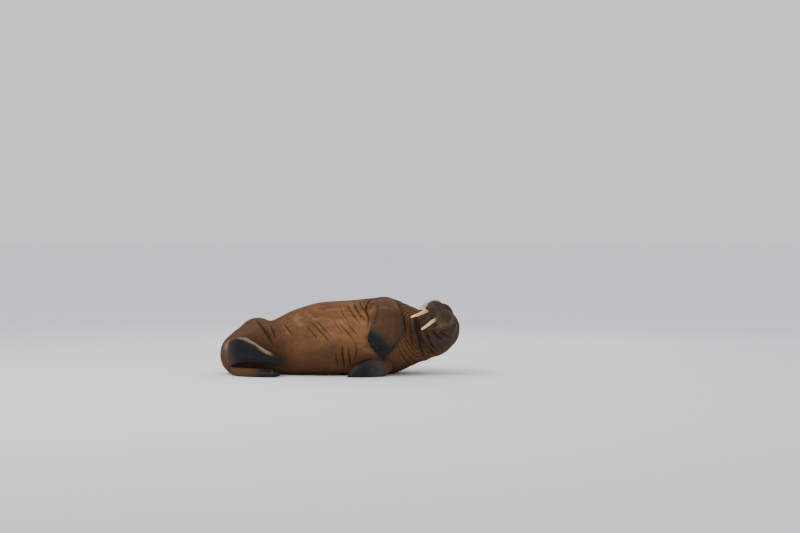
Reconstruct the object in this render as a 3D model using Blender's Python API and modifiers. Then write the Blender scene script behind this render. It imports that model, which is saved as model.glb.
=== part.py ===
"""A young walrus at rest on its left side, life size, as closed solids.

The animal's length runs along X with the head at +X, its belly faces -Y, its right side is up
and +Z is up. Everything is in metres. The flesh is one soft form that is fused from lofts and
ellipsoids and then parted by thin cuts, and the flippers, tusks, eyes and claws meet it.
"""

import math

import bmesh
import bpy
import numpy as np
from mathutils import Matrix, Vector
from mathutils.bvhtree import BVHTree

# Driving sizes
GAP = 0.0003  # between pieces that touch
FLOOR = 0.0  # the level of the small flats that the animal rests on
BODY_VOXEL = 0.018
HEAD_VOXEL = 0.007
FLESH_TRIANGLES = 4800

# The head turns round this point, between the roots of the tusks
MOUTH = Vector((0.840, -0.350, 0.542))
HEAD_FORWARD = Vector((0.064, -0.660, 0.749))
HEAD_UP = Vector((0.843, 0.438, 0.314))

# The trunk's sections: X, then how far the skin reaches up, down, to the belly and to the back
TRUNK = {
    "rump": (-1.00, 0.260, 0.060, -0.080, 0.150),
    "hip": (-0.86, 0.400, 0.005, -0.180, 0.240),
    "flank": (-0.64, 0.480, -0.020, -0.270, 0.310),
    "loin": (-0.42, 0.592, -0.030, -0.350, 0.350),
    "middle": (-0.16, 0.657, -0.030, -0.395, 0.375),
    "navel": (0.08, 0.674, -0.030, -0.405, 0.385),
    "chest": (0.28, 0.692, -0.030, -0.390, 0.385),
    "shoulder": (0.43, 0.697, -0.020, -0.360, 0.370),
    "withers": (0.58, 0.642, 0.030, -0.300, 0.350),
    "neck": (0.72, 0.578, 0.095, -0.240, 0.310),
}

# Flesh that bulges past the trunk: centre, then half sizes along X, Y and Z
BULGES = {
    "haunch": ((-0.770, 0.010, 0.250), (0.215, 0.225, 0.268)),
    "buttock": ((-0.860, -0.010, 0.240), (0.190, 0.200, 0.195)),
    "shank": ((-0.930, -0.040, 0.178), (0.182, 0.185, 0.202)),
    "shoulder_right": ((0.385, -0.070, 0.515), (0.190, 0.210, 0.198)),
    "neck_root": ((0.700, 0.050, 0.340), (0.220, 0.260, 0.248)),
    "neck_bend": ((0.830, 0.060, 0.360), (0.228, 0.240, 0.218)),
    "nape": ((0.890, -0.030, 0.405), (0.203, 0.215, 0.205)),
}

# The head's forms in its own frame: centre, then half sizes, along forward, left and up.
# A form that lies off the middle has a twin on the other side.
SKULL_FORMS = {
    "cranium": ((-0.175, 0.000, 0.105), (0.180, 0.140, 0.140)),
    "cheek": ((-0.140, 0.066, 0.025), (0.130, 0.095, 0.105)),
    "throat": ((-0.190, 0.000, -0.035), (0.120, 0.120, 0.095)),
}
FACE_FORMS = {
    "snout": ((-0.050, 0.000, 0.105), (0.130, 0.112, 0.098)),
    "muzzle": ((0.003, 0.000, 0.072), (0.078, 0.095, 0.092)),
    "pad": ((0.006, 0.062, 0.055), (0.085, 0.080, 0.085)),
    "lip": ((-0.002, 0.062, 0.014), (0.070, 0.066, 0.046)),
    "nose": ((0.010, 0.000, 0.132), (0.060, 0.058, 0.044)),
    "brow": ((-0.105, 0.078, 0.160), (0.062, 0.046, 0.042)),
    "chin": ((-0.045, 0.000, -0.036), (0.076, 0.056, 0.046)),
    "jowl": ((-0.100, 0.050, -0.040), (0.090, 0.060, 0.060)),
}

EYE = {"from": (-0.075, 0.233, 0.268), "towards": (-0.12, -0.78, -0.62), "radius": 0.018, "lid": 0.0045}
EAR = {"from": (-0.225, 0.300, 0.110), "towards": (0.0, -1.0, -0.10), "radius": 0.0045}
NOSTRIL = {"from": (0.160, 0.022, 0.240), "towards": (-0.62, 0.0, -0.78), "half": (0.011, 0.0032, 0.013)}
TUSK = {"at": (0.012, 0.058, 0.012), "length": 0.200, "splay": 0.030, "curl": 0.014}
TUSK_RADII = (0.0145, 0.0143, 0.0137, 0.0126, 0.0108, 0.0075)

# Each flipper is a sheet between two edges from its root to its tip. An edge runs through a few
# points. The leading edge ends at the first digit's tip, the trailing edge at the last one's.
FORE_RIGHT = {
    "leading": (
        (0.500, -0.110, 0.640),
        (0.552, -0.205, 0.590),
        (0.580, -0.300, 0.490),
        (0.572, -0.345, 0.385),
        (0.510, -0.378, 0.285),
        (0.392, -0.372, 0.128),
    ),
    "trailing": (
        (0.300, -0.150, 0.630),
        (0.268, -0.270, 0.590),
        (0.276, -0.345, 0.530),
        (0.284, -0.398, 0.470),
        (0.262, -0.425, 0.400),
        (0.240, -0.432, 0.330),
    ),
    "camber": 0.026,
    "root": 0.060,
    "hand": 0.019,
    "claws": (0.90, 1, 0.016, 0.0040),  # share along, side, length, half width
}
FORE_LEFT = {
    "leading": (
        (0.450, -0.270, 0.040),
        (0.390, -0.370, 0.013),
        (0.290, -0.425, 0.010),
        (0.180, -0.448, 0.009),
        (0.060, -0.445, 0.008),
    ),
    "trailing": (
        (0.420, -0.230, 0.150),
        (0.360, -0.335, 0.162),
        (0.290, -0.372, 0.160),
        (0.210, -0.395, 0.135),
        (0.130, -0.410, 0.095),
    ),
    "camber": 0.010,
    "root": 0.040,
    "hand": 0.017,
    "claws": (0.90, 1, 0.016, 0.0040),  # share along, side, length, half width
}
HIND_RIGHT = {
    "leading": (
        (-1.000, -0.080, 0.270),
        (-1.010, -0.170, 0.310),
        (-0.940, -0.245, 0.342),
        (-0.855, -0.282, 0.350),
        (-0.740, -0.320, 0.285),
        (-0.612, -0.362, 0.215),
        (-0.505, -0.390, 0.180),
    ),
    "trailing": (
        (-1.000, -0.080, 0.090),
        (-1.010, -0.175, 0.085),
        (-0.950, -0.240, 0.090),
        (-0.860, -0.285, 0.105),
        (-0.740, -0.325, 0.115),
        (-0.640, -0.362, 0.104),
        (-0.535, -0.392, 0.092),
    ),
    "camber": 0.012,
    "root": 0.050,
    "hand": 0.020,
    "claws": (0.84, -1, 0.020, 0.0038),  # share along, side, length, half width
}
HIND_LEFT = {
    "leading": (
        (-0.980, -0.150, 0.050),
        (-0.930, -0.225, 0.055),
        (-0.860, -0.290, 0.062),
        (-0.760, -0.335, 0.066),
        (-0.640, -0.370, 0.060),
        (-0.540, -0.385, 0.050),
    ),
    "trailing": (
        (-0.990, -0.230, 0.030),
        (-0.930, -0.330, 0.026),
        (-0.850, -0.395, 0.024),
        (-0.740, -0.432, 0.022),
        (-0.620, -0.450, 0.020),
        (-0.520, -0.452, 0.018),
    ),
    "camber": 0.006,
    "root": 0.034,
    "hand": 0.018,
    "claws": (0.84, 1, 0.020, 0.0038),  # share along, side, length, half width
}
DIGITS = (0.07, 0.29, 0.51, 0.72, 0.92)  # their places from the leading edge to the trailing one

# Where the flesh is parted: a point on each cut and the way it faces
CUTS = {
    "hips": ((-0.560, 0.0, 0.0), (-1.0, 0.0, 0.12)),
    "abdomen": ((0.130, 0.0, 0.0), (-1.0, 0.0, 0.0)),
    "chest": ((0.640, 0.0, 0.0), (-1.0, -0.10, 0.06)),
}
NECK_CUT = ((-0.215, 0.0, 0.0), (-1.0, 0.0, -0.35))  # in the head's frame
MUZZLE_CUT = ((-0.052, 0.0, 0.100), (0.94, 0.0, -0.34))
JAW_CUT = ((-0.060, 0.0, -0.0155), (-0.268, 0.0, -0.963))


# Tools that the sections below share


def collection(name):
    made = bpy.data.collections.new(name)
    bpy.context.scene.collection.children.link(made)
    return made


def paint(name, colour, roughness):
    """A Principled material of one colour."""
    material = bpy.data.materials.new(name)
    material.use_nodes = True
    shader = material.node_tree.nodes["Principled BSDF"]
    shader.inputs["Base Color"].default_value = (*colour, 1.0)
    shader.inputs["Roughness"].default_value = roughness
    return material


def as_object(name, bm, home=None):
    """A mesh object made from a bmesh, which it frees."""
    bmesh.ops.recalc_face_normals(bm, faces=bm.faces[:])
    if bm.calc_volume(signed=True) < 0:
        bmesh.ops.reverse_faces(bm, faces=bm.faces[:])
    mesh = bpy.data.meshes.new(name)
    bm.to_mesh(mesh)
    bm.free()
    obj = bpy.data.objects.new(name, mesh)
    (home or parts).objects.link(obj)
    return obj


def apply_modifiers(obj):
    """Makes the object's modifiers part of its mesh."""
    bpy.context.view_layer.update()
    graph = bpy.context.evaluated_depsgraph_get()
    mesh = bpy.data.meshes.new_from_object(obj.evaluated_get(graph))
    obj.modifiers.clear()
    obj.data = mesh


def finish(obj, material):
    obj.data.materials.clear()
    obj.data.materials.append(material)
    obj.data.shade_smooth()
    obj.data.set_sharp_from_angle(angle=math.radians(50))


def boolean(obj, cutter, operation="DIFFERENCE"):
    """Cuts or joins two closed meshes and removes the second."""
    change = obj.modifiers.new("boolean", "BOOLEAN")
    change.operation = operation
    change.solver = "MANIFOLD"
    change.object = cutter
    apply_modifiers(obj)
    bpy.data.objects.remove(cutter)


def keep_largest(obj):
    """Keeps only the object's largest closed surface."""
    bm = bmesh.new()
    bm.from_mesh(obj.data)
    left, bodies = set(bm.verts), []
    while left:
        body, edge = set(), [left.pop()]
        while edge:
            vert = edge.pop()
            body.add(vert)
            near = {link.other_vert(vert) for link in vert.link_edges} & left
            left -= near
            edge.extend(near)
        bodies.append(body)
    bodies.sort(key=len)
    bmesh.ops.delete(bm, geom=[v for body in bodies[:-1] for v in body], context="VERTS")
    bm.to_mesh(obj.data)
    bm.free()


def inflated(obj, by=GAP):
    """A copy of the object whose skin stands out by the given distance, as a cutter."""
    bm = bmesh.new()
    bm.from_mesh(obj.data)
    for vert in bm.verts:
        vert.co += vert.normal * by * vert.calc_shell_factor()
    return as_object(obj.name + "_cutter", bm, cutters)


def clear_of(obj, *others):
    """Cuts the object clear of others that it meets."""
    for other in others:
        boolean(obj, inflated(other))
    keep_largest(obj)


def keep_side(bm, point, normal):
    """Keeps the side of a closed mesh that the normal points to, and closes the cut."""
    geometry = bm.verts[:] + bm.edges[:] + bm.faces[:]
    cut = bmesh.ops.bisect_plane(
        bm, geom=geometry, dist=1e-7, plane_co=point, plane_no=normal, clear_inner=True
    )
    rim = [e for e in cut["geom_cut"] if isinstance(e, bmesh.types.BMEdge)]
    bmesh.ops.triangle_fill(bm, use_beauty=True, edges=rim)


def split(obj, name, point, normal):
    """Parts the object by a thin cut. The side that the normal points to gets the new name."""
    point, normal = Vector(point), Vector(normal).normalized()
    ahead = bmesh.new()
    ahead.from_mesh(obj.data)
    keep_side(ahead, point + normal * GAP / 2, normal)
    behind = bmesh.new()
    behind.from_mesh(obj.data)
    keep_side(behind, point - normal * GAP / 2, -normal)
    rest = obj.name
    bpy.data.objects.remove(obj)
    return as_object(name, ahead), as_object(rest, behind)


def head_frame():
    """The head's own frame at MOUTH, with its forward, left and up directions as columns."""
    forward = HEAD_FORWARD.normalized()
    left = HEAD_UP.cross(forward).normalized()
    turn = Matrix((forward, left, forward.cross(left))).transposed().to_4x4()
    return Matrix.Translation(MOUTH) @ turn


def add_ellipsoid(bm, centre, radii, place=Matrix.Identity(4), rows=20, tilt=0.0):
    """An ellipsoid added to a bmesh, with its centre and half sizes in the frame place."""
    shape = place @ Matrix.Translation(centre) @ Matrix.Rotation(tilt, 4, "X")
    shape = shape @ Matrix.Diagonal((*radii, 1.0))
    bmesh.ops.create_uvsphere(bm, u_segments=2 * rows, v_segments=rows, radius=1.0, matrix=shape)


def ellipsoid(name, *args, home=None, **options):
    bm = bmesh.new()
    add_ellipsoid(bm, *args, **options)
    return as_object(name, bm, home or cutters)


def smooth_values(keys, values, at):
    """Values read between keys, along a curve that doesn't overshoot them."""
    keys, values = np.asarray(keys, float), np.asarray(values, float)
    steps = np.diff(values) / np.diff(keys)
    slopes = np.zeros(len(keys))
    same = steps[:-1] * steps[1:] > 0
    slopes[1:-1][same] = 2 * (steps[:-1] * steps[1:])[same] / (steps[:-1] + steps[1:])[same]
    slopes[0], slopes[-1] = steps[0], steps[-1]
    i = np.clip(np.searchsorted(keys, at) - 1, 0, len(keys) - 2)
    width = keys[i + 1] - keys[i]
    t = np.clip((at - keys[i]) / width, 0, 1)
    return (
        values[i] * (1 + 2 * t) * (1 - t) ** 2
        + slopes[i] * width * t * (1 - t) ** 2
        + values[i + 1] * t**2 * (3 - 2 * t)
        - slopes[i + 1] * width * t**2 * (1 - t)
    )


def add_loft(bm, rings):
    """Rings of points bridged into one closed tube, added to a bmesh."""
    made = [[bm.verts.new(point) for point in ring] for ring in rings]
    count = len(made[0])
    for low, high in zip(made, made[1:]):
        for k in range(count):
            following = (k + 1) % count
            bm.faces.new((low[k], low[following], high[following], high[k]))
    bm.faces.new(made[0][::-1])
    bm.faces.new(made[-1])


def fuse(name, bm, voxel, rounds):
    """The closed forms in a bmesh made one soft closed surface."""
    obj = as_object(name, bm)
    remesh = obj.modifiers.new("fuse", "REMESH")
    remesh.mode = "VOXEL"
    remesh.voxel_size = voxel
    soften = obj.modifiers.new("soften", "SMOOTH")
    soften.factor = 0.5
    soften.iterations = rounds
    apply_modifiers(obj)
    return obj


def in_head(cut):
    """A cut's point and direction, turned from the head's frame into the world."""
    return head_frame() @ Vector(cut[0]), head_frame().to_3x3() @ Vector(cut[1])


# The flesh of the trunk, haunches, neck and head


def trunk_rings(stations=26, points=36, fullness=0.92):
    """Oval sections from the rump to the neck, widest below the middle where the flesh settles."""
    table = np.array(list(TRUNK.values()))
    at = np.linspace(table[0, 0], table[-1, 0], stations)
    up, down, belly, back = (smooth_values(table[:, 0], table[:, k], at) for k in range(1, 5))
    turn = np.linspace(0, 2 * math.pi, points, endpoint=False)
    across = np.sign(np.cos(turn)) * np.abs(np.cos(turn)) ** fullness
    high = np.sign(np.sin(turn)) * np.abs(np.sin(turn)) ** fullness
    rings = []
    for k, x in enumerate(at):
        middle_z = 0.46 * up[k] + 0.54 * down[k]
        y = (belly[k] + back[k]) / 2 + (back[k] - belly[k]) / 2 * across
        z = middle_z + np.where(high > 0, up[k] - middle_z, middle_z - down[k]) * high
        rings.append([(x, a, b) for a, b in zip(y, z)])
    return rings


def add_head_forms(bm, forms):
    for (forward, left, up), radii in forms.values():
        for side in (1, -1) if left else (1,):
            add_ellipsoid(bm, (forward, side * left, up), radii, head_frame())


def flesh():
    """The whole body without its flippers, as one closed surface with small flats below."""
    bm = bmesh.new()
    add_loft(bm, trunk_rings())
    for centre, radii in BULGES.values():
        add_ellipsoid(bm, centre, radii)
    add_head_forms(bm, SKULL_FORMS)
    trunk = fuse("trunk", bm, BODY_VOXEL, 14)

    bm = bmesh.new()
    bm.from_mesh(trunk.data)
    bpy.data.objects.remove(trunk)
    add_head_forms(bm, FACE_FORMS)
    made = fuse("flesh", bm, HEAD_VOXEL, 9)
    thin_out(made)
    bm = bmesh.new()
    bm.from_mesh(made.data)
    bpy.data.objects.remove(made)
    keep_side(bm, (0, 0, FLOOR), (0, 0, 1))
    return as_object("flesh", bm)


def thin_out(obj, reach=0.24, least=0.05, most=0.62):
    """Fewer triangles, with the smallest on the head."""
    group = obj.vertex_groups.new(name="calm")
    centre = head_frame() @ Vector((-0.03, 0, 0.06))
    for vert in obj.data.vertices:
        share = min(1.0, max(0.0, ((vert.co - centre).length - 0.6 * reach) / reach))
        group.add([vert.index], least + (most - least) * share, "REPLACE")
    thin = obj.modifiers.new("thin", "DECIMATE")
    thin.ratio = FLESH_TRIANGLES / (2 * len(obj.data.polygons))
    thin.vertex_group = "calm"
    thin.vertex_group_factor = 0.0005
    apply_modifiers(obj)
    obj.vertex_groups.clear()


# Eyes, lids and ears


def on_skin(obj, spot, side):
    """Where a ray from a spot in the head's frame meets the skin, and the skin's normal there."""
    frame = head_frame()
    start, aim = Vector(spot["from"]), Vector(spot["towards"]).normalized()
    start.y, aim.y = side * start.y, side * aim.y
    turn = frame.to_3x3()
    surface = BVHTree.FromObject(obj, bpy.context.evaluated_depsgraph_get())
    hit, normal, _, _ = surface.ray_cast(frame @ start, turn @ aim)
    return frame.inverted() @ hit, turn.transposed() @ normal


def add_lids_and_ears(head):
    """Lids that bulge over each eyeball with an almond opening, and a small ear pit with a rim."""
    frame, eyes = head_frame(), []
    radius, lid, hole = EYE["radius"], EYE["lid"], EAR["radius"]
    for side, name in ((1, "eye_left"), (-1, "eye_right")):
        spot, normal = on_skin(head, EYE, side)
        centre = spot - normal * 0.70 * radius
        tilt = side * math.atan2(normal.z, abs(normal.y))
        mound = (1.55 * (radius + lid), radius + lid, 1.30 * (radius + lid))
        boolean(head, ellipsoid("lid", centre, mound, frame, rows=9, tilt=tilt), "UNION")
        opening = centre + normal * 1.05 * radius
        almond = (0.85 * radius, 0.62 * radius, 0.45 * radius)
        boolean(head, ellipsoid("opening", opening, almond, frame, rows=6, tilt=tilt))
        boolean(head, ellipsoid("socket", centre, (radius + GAP,) * 3, frame, rows=7))
        eyes.append(ellipsoid(name, centre, (radius,) * 3, frame, rows=7, home=parts))

        spot, normal = on_skin(head, EAR, side)
        rim = (3.2 * hole, 1.6 * hole, 2.6 * hole)
        boolean(head, ellipsoid("ear_rim", spot, rim, frame, rows=6), "UNION")
        pit = spot + normal * 1.4 * hole
        boolean(head, ellipsoid("pit", pit, (1.5 * hole, 2.4 * hole, hole), frame, rows=5))
    keep_largest(head)
    return eyes


# Tusks


def tusk(name, side, extra=0.0, home=None, sides=12, steps=9):
    """A tapered oval tusk that splays outwards and curls back. Extra widens it into a cutter."""
    frame = head_frame()
    root = Vector((TUSK["at"][0], side * TUSK["at"][1], TUSK["at"][2]))
    keys = np.linspace(0, 1, len(TUSK_RADII))
    rings = []
    for k in range(steps + 1):
        t = k / steps
        radius = float(smooth_values(keys, TUSK_RADII, np.array([t]))[0]) + extra
        if k == steps:
            radius *= 0.55
        drop = -TUSK["length"] * t + (extra if k == 0 else 0) - (extra if k == steps else 0)
        back = 0.010 * math.sin(math.pi * min(1, 1.6 * t)) - TUSK["curl"] * t**2
        centre = root + Vector((back, side * TUSK["splay"] * t, drop))
        ring = []
        for j in range(sides):
            a = 2 * math.pi * j / sides
            ring.append(frame @ (centre + Vector((1.12 * radius * math.cos(a), radius * math.sin(a), 0))))
        rings.append(ring)
    bm = bmesh.new()
    add_loft(bm, rings)
    return as_object(name, bm, home)


# The muzzle's mouth line, nostrils, tusk sockets and whiskers


def cut_mouth_line(front, radius=0.0042, steps=24):
    """A groove between the lips, along the line where the jaw is parted from the muzzle."""
    centre, normal = in_head(JAW_CUT)
    left = head_frame().to_3x3() @ Vector((0, 1, 0))
    ahead = normal.cross(left).normalized()
    surface = BVHTree.FromObject(front, bpy.context.evaluated_depsgraph_get())
    rings = []
    for k in range(steps + 1):
        a = math.radians(-84 + 168 * k / steps)
        out = ahead * math.cos(a) + left * math.sin(a)
        lip = surface.ray_cast(centre + out * 0.3, -out)[0]
        size = radius * (1 - 0.6 * abs(2 * k / steps - 1) ** 3)
        turns = [2 * math.pi * j / 8 for j in range(8)]
        rings.append([lip + size * (out * 1.6 * math.cos(b) + normal * math.sin(b)) for b in turns])
    bm = bmesh.new()
    add_loft(bm, rings)
    boolean(front, as_object("mouth_line", bm, cutters))


def cut_nostrils(muzzle):
    """Two crescent slits on top of the nose."""
    for side in (1, -1):
        spot, _ = on_skin(muzzle, NOSTRIL, side)
        slit = ellipsoid("slit", spot, NOSTRIL["half"], head_frame(), rows=6, tilt=side * -0.5)
        boolean(muzzle, slit)


def whisker(root, tip, droop, thickness, home):
    """A bristle with four sides that bends once and comes to a point."""
    along = (tip - root).normalized()
    side = along.orthogonal().normalized()
    over = along.cross(side)
    bend = root.lerp(tip, 0.5) + droop
    rings = []
    for centre, radius in ((root, thickness), (bend, 0.75 * thickness), (tip, 0.22 * thickness)):
        turns = [2 * math.pi * j / 4 for j in range(4)]
        rings.append([centre + radius * (side * math.cos(a) + over * math.sin(a)) for a in turns])
    bm = bmesh.new()
    add_loft(bm, rings)
    return as_object("whisker", bm, home)


def add_whiskers(muzzle, others, rows=6, per_row=8):
    """Stiff whiskers in rows over each pad, longest at its outer lower side, clear of the others."""
    frame, draw = head_frame(), np.random.default_rng(7)
    turn = frame.to_3x3()
    graph = bpy.context.evaluated_depsgraph_get()
    surface = BVHTree.FromObject(muzzle, graph)
    walls = [BVHTree.FromObject(obj, graph) for obj in others]
    bristles = collection("bristles")
    centre, radii = FACE_FORMS["pad"]
    for side in (1, -1):
        for row in range(rows):
            height = math.radians(38 - 76 * row / (rows - 1))
            for k in range(per_row):
                swing = math.radians(-8 + 96 * (k + 0.5 * (row % 2)) / per_row)
                swing += draw.uniform(-0.03, 0.03)
                out = Vector(
                    (
                        math.cos(height) * math.cos(swing),
                        side * math.cos(height) * math.sin(swing),
                        math.sin(height),
                    )
                )
                start = frame @ Vector((centre[0], side * centre[1], centre[2]))
                far = start + (turn @ out) * 0.25
                hit, normal, _, _ = surface.ray_cast(far, -(turn @ out))
                if hit is None:
                    continue
                length = 0.030 + 0.045 * (k / per_row) + 0.020 * (row / rows)
                length *= draw.uniform(0.85, 1.1)
                aim = ((turn @ out) * 0.7 + turn @ Vector((0.0, 0.0, -1.0))).normalized()
                aim = (aim + normal * max(0.0, 0.5 - aim.dot(normal))).normalized()
                root = hit - normal * 0.010
                tip = hit + aim * length
                droop = (normal - aim * normal.dot(aim)) * 0.03 * length
                spots = [root.lerp(tip, k / 6) + droop * math.sin(math.pi * k / 6) for k in range(7)]
                near = min(wall.find_nearest(spot)[3] for wall in walls for spot in spots)
                if near > 0.004:
                    whisker(root, tip, droop, 0.0017, bristles)
    join = muzzle.modifiers.new("whiskers", "BOOLEAN")
    join.operation = "UNION"
    join.operand_type = "COLLECTION"
    join.collection = bristles
    join.solver = "MANIFOLD"
    apply_modifiers(muzzle)
    for bristle in list(bristles.objects):
        bpy.data.objects.remove(bristle)
    bpy.data.collections.remove(bristles)
    keep_largest(muzzle)


# Flippers and claws


def edge_point(points, t):
    """A point at share t of the way along an edge."""
    points = np.array(points)
    steps = np.linalg.norm(np.diff(points, axis=0), axis=1)
    keys = np.concatenate(([0], np.cumsum(steps))) / steps.sum()
    return Vector([float(smooth_values(keys, points[:, k], np.array([t]))[0]) for k in range(3)])


def digit_ridge(v, width=0.075):
    """How far a point across the flipper lies on a digit, from 0 on the web to 1 on its ridge."""
    return max(math.exp(-(((v - digit) / width) ** 2)) for digit in DIGITS)


def flipper_middle(shape, u, v):
    """A point of the flipper's middle sheet: u from root to tip, v from leading to trailing edge."""
    u_end = u * (1 - 0.04 * (1 - digit_ridge(v)) * u**4)
    lead, trail = edge_point(shape["leading"], u_end), edge_point(shape["trailing"], u_end)
    tip_in = edge_point(shape["leading"], 0.6).lerp(edge_point(shape["trailing"], 0.6), 0.5)
    middle = lead.lerp(trail, v)
    outward = (middle - tip_in).normalized() if u > 0.6 else Vector((0, 0, 0))
    middle += outward * 0.018 * math.sin(math.pi * v) * max(0, u - 0.6) / 0.4
    return middle


def flipper_point(shape, u, v, side):
    """A point of the flipper's skin on its outer side (1) or inner side (-1)."""
    step = 0.01
    here = flipper_middle(shape, u, v)
    along = flipper_middle(shape, min(1, u + step), v) - flipper_middle(shape, max(0, u - step), v)
    across = flipper_middle(shape, u, min(1, v + step)) - flipper_middle(shape, u, max(0, v - step))
    normal = across.cross(along).normalized()
    blend = min(1.0, u / 0.55)
    core = shape["root"] * (1 - blend) + shape["hand"] * blend
    ridges = 1 - 0.34 * (1 - digit_ridge(v)) * min(1, 1.6 * u)
    edge = max(0.0, 1 - abs(2 * v - 1) ** 3.2) ** 0.5
    tip = max(0.0, 1 - max(0.0, (u - 0.72) / 0.28) ** 2.4) ** 0.5
    half = max(0.004, core * ridges * edge * (0.30 + 0.70 * tip))
    camber = shape["camber"] * math.sin(math.pi * v) * math.sin(math.pi * min(1, 0.12 + 0.88 * u))
    return here + normal * (side * half + camber)


def flipper(name, shape, along=9, across=15):
    """A closed sheet between two edges, thick at its root, with a ridge along each digit."""
    bm = bmesh.new()
    bmesh.ops.create_grid(bm, x_segments=along, y_segments=across, size=0.5)
    inner = [v for v in bm.verts]
    bmesh.ops.triangulate(bm, faces=bm.faces[:])
    made = bmesh.ops.extrude_face_region(bm, geom=bm.faces[:], use_keep_orig=True)
    outer = [v for v in made["geom"] if isinstance(v, bmesh.types.BMVert)]
    for verts, side in ((inner, -1), (outer, 1)):
        for vert in verts:
            vert.co = flipper_point(shape, vert.co.x + 0.5, vert.co.y + 0.5, side)
    return as_object(name, bm)


def claw(name, limb, shape, digit, u, side, length, thickness):
    """A small blunt claw on a digit, set back from its tip on the flipper's haired side."""
    v = DIGITS[digit]
    at = flipper_point(shape, u, v, side)
    inside = flipper_point(shape, u, v, -side)
    out = (at - inside).normalized()
    surface = BVHTree.FromObject(limb, bpy.context.evaluated_depsgraph_get())
    at = surface.ray_cast(at + out * 0.03, -out)[0] or at
    along = flipper_point(shape, min(1, u + 0.05), v, side) - flipper_point(shape, u, v, side)
    along = (along - out * along.dot(out)).normalized()
    over = along.cross(out).normalized()
    rings = []
    for t, width in ((-0.3, 0.85), (0.1, 1.0), (0.6, 0.8), (1.0, 0.3)):
        centre = at + along * length * t + out * thickness * (0.2 + 0.7 * t - 0.6 * t * t)
        turns = [2 * math.pi * j / 6 for j in range(6)]
        oval = [width * thickness * (over * math.cos(a) + out * 0.8 * math.sin(a)) for a in turns]
        rings.append([centre + step for step in oval])
    bm = bmesh.new()
    add_loft(bm, rings)
    return as_object(name, bm)


def tail():
    """The short tail flap behind the haunch."""
    bm = bmesh.new()
    add_ellipsoid(bm, (-1.035, 0.085, 0.150), (0.068, 0.020, 0.042), rows=6)
    return as_object("tail", bm)


def centre_on_floor():
    """Moves everything so that the origin is the middle of the box's bottom."""
    corners = [v.co for obj in parts.objects for v in obj.data.vertices]
    low, high = (Vector(map(pick, zip(*corners))) for pick in (min, max))
    shift = Vector((-(low.x + high.x) / 2, -(low.y + high.y) / 2, -low.z))
    for obj in parts.objects:
        obj.data.transform(Matrix.Translation(shift))
    return shift


for old in list(bpy.data.objects):
    bpy.data.objects.remove(old)
parts = collection("walrus")
cutters = collection("cutters")
brown = paint("brown_skin", (0.20, 0.105, 0.050), 0.60)
dark = paint("bare_sole", (0.045, 0.040, 0.042), 0.55)
ivory = paint("tusk_ivory", (0.80, 0.62, 0.38), 0.35)
glossy = paint("eye", (0.012, 0.010, 0.012), 0.08)
horn = paint("claw_horn", (0.10, 0.085, 0.075), 0.45)

body = flesh()
limbs = {
    "fore_flipper_right": FORE_RIGHT,
    "fore_flipper_left": FORE_LEFT,
    "hind_flipper_right": HIND_RIGHT,
    "hind_flipper_left": HIND_LEFT,
}
made = []
for name, shape in limbs.items():
    limb = flipper(name, shape)
    clear_of(limb, body, *made)
    made.append(limb)
for limb, shape in zip(made, limbs.values()):
    for digit in range(5):
        name = limb.name.replace("flipper", "claw") + "_" + str(digit + 1)
        nail = claw(name, limb, shape, digit, *shape["claws"])
        clear_of(nail, limb)
        finish(nail, horn)
    finish(limb, dark)
stub = tail()
clear_of(stub, body)
finish(stub, brown)

# The flesh is parted into its nodes
body.name = "rest"
hips, rest = split(body, "hips", *CUTS["hips"])
abdomen, rest = split(rest, "abdomen", *CUTS["abdomen"])
chest, rest = split(rest, "chest", *CUTS["chest"])
neck, head = split(rest, "neck", *in_head(NECK_CUT))
front, head = split(head, "front", *in_head(MUZZLE_CUT))
cut_mouth_line(front)
jaw, muzzle = split(front, "lower_jaw", *in_head(JAW_CUT))
head.name, muzzle.name = "head", "muzzle"
flesh_nodes = (hips, abdomen, chest, neck, head, jaw, muzzle)
for piece in flesh_nodes:
    keep_largest(piece)

tusks = []
for side, name in ((1, "tusk_left"), (-1, "tusk_right")):
    boolean(muzzle, tusk("socket", side, GAP, cutters))
    boolean(jaw, tusk("groove", side, 4 * GAP, cutters))
    tusks.append(tusk(name, side))
    finish(tusks[-1], ivory)
keep_largest(jaw)
eyes = add_lids_and_ears(head)
cut_nostrils(muzzle)
add_whiskers(muzzle, [head, jaw, neck, chest, made[0], *tusks])
for piece in flesh_nodes:
    finish(piece, brown)
for eye in eyes:
    finish(eye, glossy)
moved = centre_on_floor()
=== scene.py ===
"""A young walrus at rest on its left side: its skin, coat, whiskers, tusks, eyes and claws.

The head is at +X, the belly faces -Y and the right side is up. Everything is in metres.
"""

import math

import bmesh
import bpy
import numpy as np
from mathutils import Matrix, Vector
from mathutils.bvhtree import BVHTree


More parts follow.
